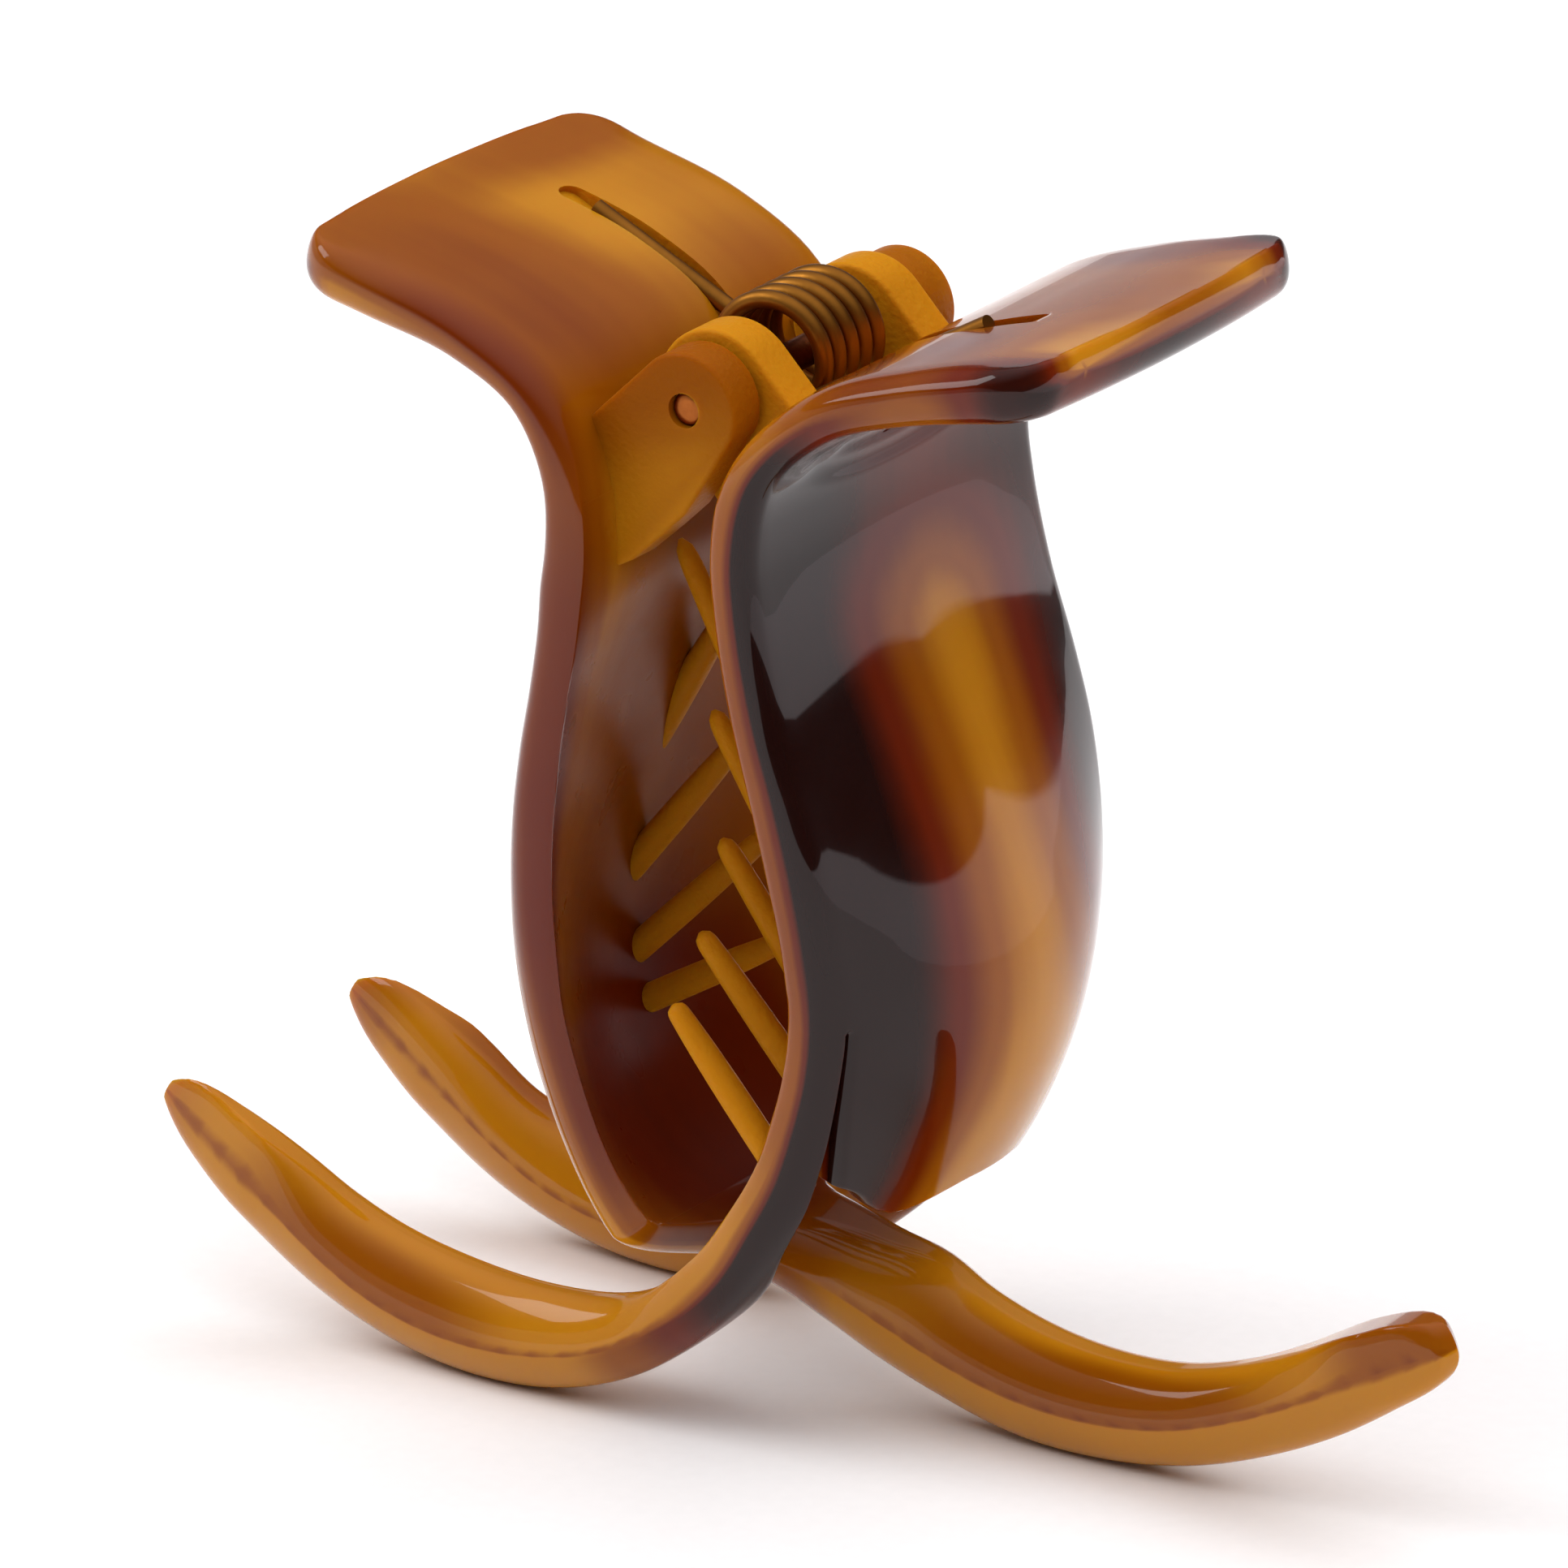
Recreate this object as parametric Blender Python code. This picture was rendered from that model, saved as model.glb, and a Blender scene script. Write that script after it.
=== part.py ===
"""A large three-prong hair claw: two plastic jaws sprung shut on a steel pin, standing closed on its prongs.

The hinge axis runs along Y. X crosses the clip from the left jaw to the right one, and Z is up.
"""

from math import cos, hypot, pi, radians, sin

import bmesh
import bpy
import numpy as np
from mathutils import Vector

MM = 0.001

# The mould's parting line seen from the end, in millimetres from the hinge axis. x is measured away from the
# axis on the jaw's own side. The outer and inner depths are the plastic on either side of the parting line.
COLUMNS = ("x", "z", "half_width", "bulge", "outer", "inner", "bevel", "inside_edge")
SHELL_EDGE, SLIT_TOP_Y = 1.5, 14.6
LEFT_JAW = (
    (27.0, 6.2, 16.25, 0.0, 2.2, 1.3, SHELL_EDGE, 0),
    (21.0, 4.8, 16.25, 0.0, 2.1, 1.4, SHELL_EDGE, 0),
    (14.4, 2.8, 16.25, 0.0, 1.7, 1.4, SHELL_EDGE, 0),
    (9.6, -0.2, 16.25, 0.0, 1.5, 1.5, SHELL_EDGE, 0),
    (7.1, -4.7, 16.35, 0.0, 1.6, 1.5, SHELL_EDGE, 0),
    (6.4, -9.65, 16.65, 0.0, 1.9, 1.5, SHELL_EDGE, 0),
    (6.6, -12.2, 16.75, 0.0, 2.0, 1.5, SHELL_EDGE, 0),
    (6.95, -14.6, 16.8, 0.8, 1.7, 1.6, SHELL_EDGE, 0),
    (7.7, -18.9, 16.9, 1.9, 1.4, 1.7, SHELL_EDGE, 0),
    (8.35, -22.95, 17.0, 2.4, 1.4, 1.8, SHELL_EDGE, 0),
    (8.9, -27.1, 16.9, 3.1, 1.4, 1.9, SHELL_EDGE, 0),
    (9.25, -31.65, 16.5, 4.2, 1.4, 1.9, SHELL_EDGE, 0),
    (9.25, -36.2, 16.0, 5.2, 1.4, 1.9, SHELL_EDGE, 0),
    (8.8, -40.55, 15.55, 5.5, 1.4, 1.7, SHELL_EDGE, 0),
    (7.9, -44.85, 15.1, 5.5, 1.4, 1.7, SHELL_EDGE, 0),
    (6.75, -48.6, 14.7, 5.2, 1.4, 1.7, SHELL_EDGE, 0),
    (5.25, -52.3, 14.15, 4.1, 1.5, 1.8, SHELL_EDGE, 0),
    (3.5, -55.1, 13.6, 2.6, 1.8, 1.9, SHELL_EDGE, 0),
    (1.2, -57.2, 13.3, 1.2, 2.4, 2.2, 1.8, 0),
    (-2.0, -58.9, 13.0, 0.3, 3.2, 2.9, 2.6, 0),
    (-5.5, -60.4, 13.0, 0.0, 3.9, 3.5, 3.0, 0),
    (-9.0, -61.8, 13.0, 0.0, 4.1, 4.3, 3.0, 0),
    (-12.5, -63.2, 13.0, 0.0, 3.9, 4.0, 2.9, 0),
    (-18.0, -64.6, 13.0, 0.0, 3.8, 3.7, 2.8, 0),
    (-24.0, -64.9, 13.0, 0.0, 3.5, 3.4, 2.7, 0),
    (-29.0, -64.2, 13.0, 0.0, 3.3, 3.1, 2.6, 0),
    (-34.0, -62.5, 13.0, 0.0, 3.2, 2.9, 2.4, 0),
    (-38.5, -60.3, 13.0, 0.0, 3.1, 2.8, 2.1, 0),
    (-43.0, -57.6, 13.0, 0.0, 2.8, 2.6, 1.7, 0),
    (-46.4, -55.9, 13.0, 0.0, 2.1, 2.2, 1.2, 0),
    (-48.2, -55.2, 13.0, 0.0, 1.2, 1.5, 0.8, 0),
)
RIGHT_JAW = (
    (27.0, 7.1, 16.25, 0.0, 2.2, 1.3, SHELL_EDGE, SLIT_TOP_Y),
    (21.4, 6.0, 16.25, 0.0, 2.1, 1.4, SHELL_EDGE, SLIT_TOP_Y),
    (17.4, 4.9, 16.25, 0.0, 1.9, 1.4, SHELL_EDGE, SLIT_TOP_Y),
    (10.7, 2.0, 16.25, 0.0, 1.6, 1.5, SHELL_EDGE, SLIT_TOP_Y),
    (6.65, -2.5, 16.3, 0.0, 1.4, 1.5, SHELL_EDGE, SLIT_TOP_Y),
    (5.75, -7.9, 16.6, 0.2, 1.4, 1.5, SHELL_EDGE, SLIT_TOP_Y),
    (6.05, -10.85, 16.7, 0.5, 1.4, 1.5, SHELL_EDGE, SLIT_TOP_Y),
    (7.3, -16.95, 16.85, 1.4, 1.4, 1.6, SHELL_EDGE, SLIT_TOP_Y),
    (9.1, -22.75, 16.95, 2.2, 1.4, 1.8, SHELL_EDGE, SLIT_TOP_Y),
    (10.2, -26.85, 16.9, 3.0, 1.4, 1.9, SHELL_EDGE, SLIT_TOP_Y),
    (11.05, -32.15, 16.5, 4.3, 1.4, 1.9, SHELL_EDGE, SLIT_TOP_Y),
    (11.2, -36.6, 16.0, 5.5, 1.4, 1.9, SHELL_EDGE, SLIT_TOP_Y),
    (10.4, -41.25, 15.5, 6.1, 1.4, 1.9, SHELL_EDGE, 14.3),
    (9.2, -44.9, 15.1, 6.1, 1.4, 1.9, SHELL_EDGE, 13.75),
    (7.65, -48.6, 14.65, 5.7, 1.4, 1.9, SHELL_EDGE, 13.1),
    (5.2, -52.65, 14.1, 4.4, 1.5, 1.9, 1.5, 12.0),
    (1.9, -57.2, 13.3, 2.0, 1.8, 2.0, 1.6, 9.4),
    (-2.6, -61.3, 13.1, 0.6, 2.2, 2.3, 2.0, 8.7),
    (-6.0, -63.4, 13.3, 0.0, 2.6, 2.8, 2.4, 8.0),
    (-12.4, -65.2, 13.4, 0.0, 3.1, 3.7, 2.7, 7.4),
    (-18.5, -65.3, 13.4, 0.0, 3.2, 4.1, 2.7, 7.3),
    (-24.6, -63.9, 13.2, 0.0, 3.3, 3.9, 2.6, 7.4),
    (-28.6, -62.0, 12.9, 0.0, 3.5, 3.5, 2.3, 7.7),
    (-32.7, -59.5, 12.4, 0.0, 3.5, 3.3, 1.9, 8.3),
    (-36.8, -57.1, 11.7, 0.0, 3.0, 2.9, 1.3, 9.1),
    (-39.8, -55.5, 11.0, 0.0, 2.1, 2.4, 0.9, 9.8),
    (-41.5, -54.6, 10.45, 0.0, 1.1, 1.5, 0.5, 10.35),
)
END_CORNER, END_BOW, END_BOW_LENGTH = 3.6, 0.7, 7.0
EDGE_ROUNDING = 0.62

# The left shell's lower corners sweep in to the centre prong between these heights.
SWEEP_TOP_Z, SWEEP_LENGTH = -54.6, 4.6
PRONG_HALF_WIDTHS = ((-58.0, 4.2), (-60.4, 3.7), (-63.2, 3.4))
PRONG_TAPER = (
    (-18.0, 3.3), (-29.0, 3.05), (-38.5, 2.6), (-43.0, 2.25), (-46.4, 1.65), (-47.6, 1.1), (-48.2, 0.0),
)

# The right shell's tongue between two slits: half width along the jaw, and where it ends, by half width.
SLIT_TOP, SLIT_EDGE, SLIT_EDGE_FADE = 56.6, 0.4, (71.0, 84.0)
TONGUE_SIDE = ((56.6, 14.6), (60.0, 14.2), (63.3, 13.55), (65.4, 12.95), (66.8, 12.5), (67.6, 12.2))
TONGUE_END = (
    (0.0, 68.0), (3.0, 68.3), (5.0, 69.0), (6.5, 69.6), (7.8, 69.8), (9.2, 69.3), (10.6, 68.3), (12.2, 67.6),
)
MIDDLE_HALF_WIDTH, MIDDLE_FADE = 9.7, (40.0, 54.0)

HOLE_RADIUS, PIN_RADIUS, PIN_HALF_LENGTH = 1.1, 1.02, 12.3
OUTER_LUG_Y = (9.55, 12.65)
INNER_LUG_Y = (5.9, 9.2)
OUTER_BARREL, OUTER_BARREL_TURN = 3.65, (48, 200)
OUTER_LUG_REST = (
    (-1.75, -4.0), (-0.05, -6.7), (1.7, -8.4), (4.0, -10.5), (6.7, -12.0),
    (6.6, -9.8), (7.1, -4.7), (8.0, -2.7),
)
INNER_BARREL, INNER_BARREL_TURN = 4.2, (45, 200)
INNER_LUG_REST = (
    (-1.9, -4.3), (0.0, -6.7), (1.7, -8.4), (4.0, -10.5), (5.8, -12.0),
    (5.6, -8.0), (6.2, -4.2), (7.4, -1.6),
)

# Pegs, on the jaw's own side of the axis: y, tip x, tip z, root x, root z. The right ones stand in pairs.
LEFT_PEGS = (
    (1.0, 5.8, -18.5, 12.1, -29.2),
    (1.0, 4.9, -26.7, 14.0, -38.0),
    (1.0, 2.9, -32.7, 14.0, -43.7),
    (1.0, 1.7, -39.6, 12.4, -46.0),
)
RIGHT_PEGS = (
    (7.0, -4.0, -10.7, 14.0, -42.0),
    (7.0, -1.6, -21.5, 13.6, -43.9),
    (7.0, -1.0, -29.9, 12.8, -45.9),
    (7.0, -0.95, -35.3, 11.9, -47.6),
    (7.0, -0.4, -38.7, 10.6, -49.2),
)
PEG_RADIUS, PEG_TIP_RADIUS, PEG_SIDES = 0.95, 0.7, 8

COIL_RADIUS, WIRE_RADIUS, COIL_TURNS, COIL_LIFT = 3.55, 0.6, 5, 0.8
LEFT_LEG_Y, LEFT_LEG_TIP, LEFT_SLOT_END = 4.0, (-17.5, 5.3), -20.2
RIGHT_LEG_Y, RIGHT_LEG_TIP, RIGHT_SLOT_END = -3.6, (16.2, 6.0), 20.0
SLOT_HALF_WIDTH, SLOT_DEPTH, SLOT_START = 0.95, 0.95, 4.8

ROW_STEP = 3.4
EDGE_STEPS = (0.0, 0.17, 0.5, 1.0)
FLAT_STEPS = 3
COIL_STEPS = 12


def clear_scene():
    for obj in list(bpy.data.objects):
        bpy.data.objects.remove(obj)


class Profile:
    """A jaw's table as smooth curves over the distance s walked along the parting line from the handle's end."""

    def __init__(self, rows):
        self.table = np.array(rows, float)
        steps = np.hypot(*np.diff(self.table[:, :2], axis=0).T)
        self.s = np.concatenate([[0.0], np.cumsum(steps)])
        slope = np.diff(self.table, axis=0) / steps[:, None]
        before, after = steps[:-1, None], steps[1:, None]
        middle = (slope[:-1] * after + slope[1:] * before) / (before + after)
        self.slope = np.vstack([slope[:1], middle, slope[-1:]])

    def at(self, s):
        """The columns and the travel direction at s."""
        i = int(np.clip(np.searchsorted(self.s, s) - 1, 0, len(self.s) - 2))
        h = self.s[i + 1] - self.s[i]
        t = (s - self.s[i]) / h
        a, b = self.table[i], self.table[i + 1]
        m, n = self.slope[i] * h, self.slope[i + 1] * h
        value = a * (2 * t**3 - 3 * t**2 + 1) + m * (t**3 - 2 * t**2 + t)
        value = value + b * (3 * t**2 - 2 * t**3) + n * (t**3 - t**2)
        rate = a * (6 * t**2 - 6 * t) + m * (3 * t**2 - 4 * t + 1) + b * (6 * t - 6 * t**2) + n * (3 * t**2 - 2 * t)
        run = hypot(rate[0], rate[1])
        return dict(zip(COLUMNS, value)), (rate[0] / run, rate[1] / run)

    def s_at_height(self, z):
        """Where the shell, below the neck, first comes down to z."""
        found = np.linspace(0, self.s[-1], 4001)
        heights = np.interp(found, self.s, self.table[:, 1])
        return float(found[np.argmax(heights <= z)])

    def s_at_reach(self, x):
        """Where the parting line first passes x, counted past the bottom of the shell."""
        found = np.linspace(0, self.s[-1], 4001)
        reach = np.interp(found, self.s, self.table[:, 0])
        below = (np.interp(found, self.s, self.table[:, 1]) < -50) & (reach <= x)
        return float(found[np.argmax(below)])


class Sheet:
    """A curved plate with a rounded edge: a grid on its outer side and one on its inner side, joined at the rim."""

    def __init__(self, profile, side, outline, slits=()):
        self.profile, self.side, self.outline, self.slits = profile, side, outline, slits
        self.mesh = bmesh.new()
        self.corners = {}

    def edge_distance(self, s, y, outline):
        nearest = 1e9
        for line in outline:
            a, b = line[:-1], line[1:]
            run = b - a
            along = np.clip(((np.array([s, y]) - a) * run).sum(1) / np.maximum((run**2).sum(1), 1e-12), 0, 1)
            gap = np.hypot(*(a + run * along[:, None] - [s, y]).T)
            nearest = min(nearest, float(gap.min()))
        return nearest

    def vertex(self, s, y, layer):
        key = (round(s, 4), round(y, 4))
        distance = self.edge_distance(s, abs(y), self.outline)
        slit_distance = self.edge_distance(s, abs(y), self.slits)
        if min(distance, slit_distance) < 1e-4:
            layer = 0
        if (key, layer) not in self.corners:
            row, (tx, tz) = self.profile.at(s)
            full = min(1.0, distance / row["bevel"], slit_distance / slit_edge(s, row["bevel"]))
            depth = (1 - (1 - full) ** 2) ** EDGE_ROUNDING
            out = row["bulge"] * max(0.0, 1 - (y / row["half_width"]) ** 2)
            out += layer * depth * (row["outer"] if layer > 0 else row["inner"])
            point = (row["x"] - tz * out) * self.side, y, row["z"] + tx * out
            self.corners[key, layer] = self.mesh.verts.new(Vector(point) * MM)
        return self.corners[key, layer]

    def panel(self, rows):
        """rows: for each step along the jaw, the (s, y) points across it, from the middle to the edge."""
        for mirror in (1, -1):
            for layer in (1, -1):
                for above, below in zip(rows[:-1], rows[1:]):
                    for j in range(len(above) - 1):
                        ring = (above[j], above[j + 1], below[j + 1], below[j])
                        found = []
                        for s, y in ring:
                            corner = self.vertex(s, y * mirror, layer)
                            if corner not in found:
                                found.append(corner)
                        if len(found) > 2 and not self.mesh.faces.get(found):
                            self.mesh.faces.new(found)

    def finish(self, name):
        bmesh.ops.recalc_face_normals(self.mesh, faces=self.mesh.faces)
        bmesh.ops.triangulate(self.mesh, faces=self.mesh.faces)
        return object_of(self.mesh, name)


def object_of(mesh, name):
    data = bpy.data.meshes.new(name)
    mesh.to_mesh(data)
    mesh.free()
    obj = bpy.data.objects.new(name, data)
    bpy.context.scene.collection.objects.link(obj)
    return obj


def through(points, value):
    """A smooth curve through a short table of (place, value) points."""
    at, high = np.array(points).T
    steps = np.diff(at)
    slope = np.diff(high) / steps
    middle = (slope[:-1] * steps[1:] + slope[1:] * steps[:-1]) / (steps[:-1] + steps[1:])
    slope = np.concatenate([slope[:1], middle, slope[-1:]])
    value = min(max(value, at[0]), at[-1])
    i = int(np.clip(np.searchsorted(at, value) - 1, 0, len(at) - 2))
    t = (value - at[i]) / steps[i]
    start = high[i] * (2 * t**3 - 3 * t**2 + 1) + slope[i] * steps[i] * (t**3 - 2 * t**2 + t)
    return float(start + high[i + 1] * (3 * t**2 - 2 * t**3) + slope[i + 1] * steps[i] * (t**3 - t**2))


def steps_between(start, end, step, extra):
    """Even steps from start to end, with extra stops for the parts that turn quickly."""
    count = max(1, round((end - start) / step))
    even = np.linspace(start, end, count + 1)
    clear = [s for s in even if min(abs(s - stop) for stop in extra) > step * 0.3 or s in (start, end)]
    return sorted(clear + list(extra))


def ease(start, end, value):
    """0 before start, 1 after end, and a smooth step between them."""
    t = min(1.0, max(0.0, (value - start) / (end - start)))
    return t * t * (3 - 2 * t)


def slit_edge(s, bevel):
    """How wide the rounding is along the slits. It grows to the prong's own."""
    return SLIT_EDGE + (bevel - SLIT_EDGE) * ease(*SLIT_EDGE_FADE, s)


def end_corner(s, half_width):
    """The handle's end has rounded corners."""
    if s >= END_CORNER:
        return half_width
    return half_width - END_CORNER + (END_CORNER**2 - (END_CORNER - s) ** 2) ** 0.5


def bowed(row):
    """The handle's end bows outwards in the middle."""
    start, edge = row[0][0], row[-1][1]
    if start > END_BOW_LENGTH:
        return row
    bow = END_BOW * (1 - start / END_BOW_LENGTH) ** 2
    return [(s - bow * (1 - (y / edge) ** 2), y) for s, y in row]


def across(half_width, bevel):
    """Points from the middle to the edge, closer together on the rounded edge."""
    flat = half_width - bevel
    inner = [flat * k / FLAT_STEPS for k in range(FLAT_STEPS)]
    return inner + [half_width - bevel * step for step in reversed(EDGE_STEPS)]


def left_half_width(profile, s):
    row, _ = profile.at(s)
    top = profile.s_at_height(SWEEP_TOP_Z)
    turn = ease(0, SWEEP_LENGTH, s - top)
    prong_s = [profile.s_at_height(z) for z, _ in PRONG_HALF_WIDTHS]
    prong_s += [profile.s_at_reach(x) for x, _ in PRONG_TAPER[:-1]] + [profile.s[-1]]
    prong_w = [w for _, w in PRONG_HALF_WIDTHS] + [w for _, w in PRONG_TAPER]
    prong = float(np.interp(s, prong_s, prong_w))
    return end_corner(s, row["half_width"]) * (1 - turn) + prong * turn


def left_shell(profile):
    total = profile.s[-1]
    sweep = profile.s_at_height(SWEEP_TOP_Z)
    extra = [0.3, 1.0, 2.0, 3.2] + [sweep + SWEEP_LENGTH * k / 8 for k in range(9)]
    extra += [total - 0.3, total - 0.8, total - 1.6]
    stops = steps_between(0.0, total, ROW_STEP, extra)
    rows = []
    for s in stops:
        w = left_half_width(profile, s)
        bevel = min(profile.at(s)[0]["bevel"], 0.85 * w)
        rows.append(bowed([(s, y) for y in across(w, bevel)]))
    outline = [np.array([row[-1] for row in rows]), np.array(rows[0])]
    sheet = Sheet(profile, -1, outline)
    sheet.panel(rows)
    return sheet.finish("left_jaw")


def right_shell(profile):
    total = profile.s[-1]
    top = SLIT_TOP
    extra = [0.3, 1.0, 2.0, 3.2, top - 1.5, top - 0.7, top, top + 0.8, top + 2.0]
    extra += [total - 0.3, total - 1.0, total - 2.2]
    stops = steps_between(0.0, total, ROW_STEP, extra)

    def outside(s):
        return end_corner(s, profile.at(s)[0]["half_width"])

    def inside(s):
        if s > top:
            return min(SLIT_TOP_Y, profile.at(s)[0]["inside_edge"])
        return MIDDLE_HALF_WIDTH + (SLIT_TOP_Y - MIDDLE_HALF_WIDTH) * ease(*MIDDLE_FADE, s)

    def strip(s):
        inner, outer = inside(s), outside(s)
        bevel = profile.at(s)[0]["bevel"]
        edge = min(slit_edge(s, bevel), 0.45 * (outer - inner))
        bevel = min(bevel, outer - inner - edge)
        near_slit = [inner + edge * k for k in EDGE_STEPS]
        return [(s, y) for y in near_slit + [outer - bevel * k for k in reversed(EDGE_STEPS[:-1])]]

    shares = (0.0, 0.2, 0.41, 0.53, 0.64, 0.75, 0.87, 0.97, 1.0)
    levels = (0.0, 0.06, 0.16, 0.3, 0.46, 0.62, 0.78, 0.9, 0.97, 1.0)
    tongue = []
    for level in levels:
        row = []
        for k in shares:
            s = top + (through(TONGUE_END, TONGUE_SIDE[-1][1] * k) - top) * level
            row.append((s, through(TONGUE_SIDE, s) * k))
        tongue.append(row)
    strips = [strip(s) for s in stops]
    middle = [[(s, inside(s) * k) for k in shares] for s in stops if s <= top]
    joined = [bowed(near + far[1:]) for near, far in zip(middle, strips)]
    count = len(middle)
    middle = [row[:len(shares)] for row in joined]
    strips = [row[len(shares) - 1:] for row in joined] + strips[count:]
    outline = [
        np.array([row[-1] for row in strips]),
        np.array(middle[0] + strips[0]),
        np.array([strips[-1][0], strips[-1][-1]]),
    ]
    slits = [
        np.array([row[0] for row in strips if row[0][0] >= top - 1e-6]),
        np.array([row[-1] for row in tongue]),
        np.array(tongue[-1]),
    ]
    sheet = Sheet(profile, 1, outline, slits)
    for panel in (strips, middle, tongue):
        sheet.panel(panel)
    return sheet.finish("right_jaw")


def prism(name, points, y_low, y_high):
    mesh = bmesh.new()
    face = mesh.faces.new([mesh.verts.new((x * MM, y_low * MM, z * MM)) for x, z in points])
    moved = bmesh.ops.extrude_face_region(mesh, geom=[face])["geom"]
    corners = [v for v in moved if isinstance(v, bmesh.types.BMVert)]
    bmesh.ops.translate(mesh, verts=corners, vec=(0, (y_high - y_low) * MM, 0))
    bmesh.ops.recalc_face_normals(mesh, faces=mesh.faces)
    return object_of(mesh, name)


def lug(side, barrel, turn, rest, y_low, y_high):
    angles = np.radians(np.linspace(*turn, 15))
    points = [(barrel * cos(a), barrel * sin(a)) for a in angles] + list(rest)
    return prism("lug", [(x * side, z) for x, z in points], y_low, y_high)


def rod(name, start, end, radii, sides):
    """A round rod from start to end whose radius follows radii, a list of (share of the length, radius)."""
    start, end = Vector(start), Vector(end)
    axis = end - start
    turn = axis.to_track_quat("Z", "Y").to_matrix()
    mesh = bmesh.new()
    rings = []
    for share, radius in radii:
        middle = start + axis * share
        ring = [middle + turn @ Vector((radius * cos(a), radius * sin(a), 0)) for a in np.arange(sides) * 2 * pi / sides]
        rings.append([mesh.verts.new(p * MM) for p in ring])
    for a, b in zip(rings[:-1], rings[1:]):
        for k in range(sides):
            mesh.faces.new((a[k], a[(k + 1) % sides], b[(k + 1) % sides], b[k]))
    mesh.faces.new(rings[0][::-1])
    mesh.faces.new(rings[-1])
    bmesh.ops.recalc_face_normals(mesh, faces=mesh.faces)
    return object_of(mesh, name)


def peg(side, y, tip_x, tip_z, root_x, root_z):
    length = hypot(root_x - tip_x, root_z - tip_z)
    near = 1 - 1.0 / length
    close = 1 - 0.35 / length
    radii = ((0, PEG_RADIUS), (near, PEG_TIP_RADIUS), (close, PEG_TIP_RADIUS * 0.8), (1, PEG_TIP_RADIUS * 0.35))
    return rod("peg", (root_x * side, y, root_z), (tip_x * side, y, tip_z), radii, PEG_SIDES)


def leg_line(tip, side):
    """The coil's tangent point, and the direction, of the straight leg that ends at tip."""
    to_tip = Vector((tip[0], tip[1] - COIL_LIFT))
    reach = to_tip.length
    angle = np.arccos(COIL_RADIUS / reach)
    base = np.arctan2(to_tip.y, to_tip.x)
    turn = base + angle * (1 if side < 0 else -1)
    touch = Vector((COIL_RADIUS * cos(turn), COIL_RADIUS * sin(turn) + COIL_LIFT))
    return touch, (Vector(tip) - touch).normalized(), turn


def slot(side, tip, end_x, y):
    """A slot with a round outer end, its floor parallel to the wire."""
    touch, way, _ = leg_line(tip, side)
    start = touch + way * ((SLOT_START - abs(touch.x)) / abs(way.x))
    stop = touch + way * ((abs(end_x) - SLOT_HALF_WIDTH - abs(touch.x)) / abs(way.x))
    up = Vector((-way.y, way.x)) * (1 if way.x > 0 else -1)
    mesh = bmesh.new()
    outline = [(start, -SLOT_HALF_WIDTH)]
    for a in np.linspace(-pi / 2, pi / 2, 9):
        outline.append((stop + way * (SLOT_HALF_WIDTH * cos(a)), SLOT_HALF_WIDTH * sin(a)))
    outline.append((start, SLOT_HALF_WIDTH))
    rings = []
    for height in (-SLOT_DEPTH, 6.0):
        points = [(p + up * height, dy) for p, dy in outline]
        rings.append([mesh.verts.new((p.x * MM, (y + dy) * MM, p.y * MM)) for p, dy in points])
    count = len(outline)
    for k in range(count):
        mesh.faces.new((rings[0][k], rings[0][(k + 1) % count], rings[1][(k + 1) % count], rings[1][k]))
    mesh.faces.new(rings[0])
    mesh.faces.new(rings[1])
    bmesh.ops.recalc_face_normals(mesh, faces=mesh.faces)
    return object_of(mesh, "slot")


def combine(obj, others, operation):
    """Joins or cuts with EXACT Booleans, and keeps the result as the object's own mesh."""
    for other in others:
        step = obj.modifiers.new(operation, "BOOLEAN")
        step.operation = operation
        step.solver = "EXACT"
        step.object = other
    made = bpy.data.meshes.new_from_object(obj.evaluated_get(bpy.context.evaluated_depsgraph_get()))
    obj.modifiers.clear()
    obj.data = made
    for other in others:
        bpy.data.objects.remove(other)


def pin_hole():
    reach = OUTER_LUG_Y[1] + 1
    return rod("hole", (0, -reach, 0), (0, reach, 0), ((0, HOLE_RADIUS), (1, HOLE_RADIUS)), 24)


def left_jaw():
    body = left_shell(Profile(LEFT_JAW))
    added = []
    for low, high in (OUTER_LUG_Y, (-OUTER_LUG_Y[1], -OUTER_LUG_Y[0])):
        added.append(lug(-1, OUTER_BARREL, OUTER_BARREL_TURN, OUTER_LUG_REST, low, high))
    added += [peg(-1, *row) for row in LEFT_PEGS]
    combine(body, added, "UNION")
    combine(body, [slot(-1, LEFT_LEG_TIP, LEFT_SLOT_END, LEFT_LEG_Y), pin_hole()], "DIFFERENCE")
    return body


def right_jaw():
    body = right_shell(Profile(RIGHT_JAW))
    added = []
    for low, high in (INNER_LUG_Y, (-INNER_LUG_Y[1], -INNER_LUG_Y[0])):
        added.append(lug(1, INNER_BARREL, INNER_BARREL_TURN, INNER_LUG_REST, low, high))
    added += [peg(1, y * mirror, *ends) for y, *ends in RIGHT_PEGS for mirror in (1, -1)]
    combine(body, added, "UNION")
    combine(body, [slot(1, RIGHT_LEG_TIP, RIGHT_SLOT_END, RIGHT_LEG_Y), pin_hole()], "DIFFERENCE")
    return body


def hinge_pin():
    chamfer = 0.2 / (2 * PIN_HALF_LENGTH)
    radii = ((0, PIN_RADIUS * 0.85), (chamfer, PIN_RADIUS), (1 - chamfer, PIN_RADIUS), (1, PIN_RADIUS * 0.85))
    return rod("hinge_pin", (0, -PIN_HALF_LENGTH, 0), (0, PIN_HALF_LENGTH, 0), radii, 24)


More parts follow.
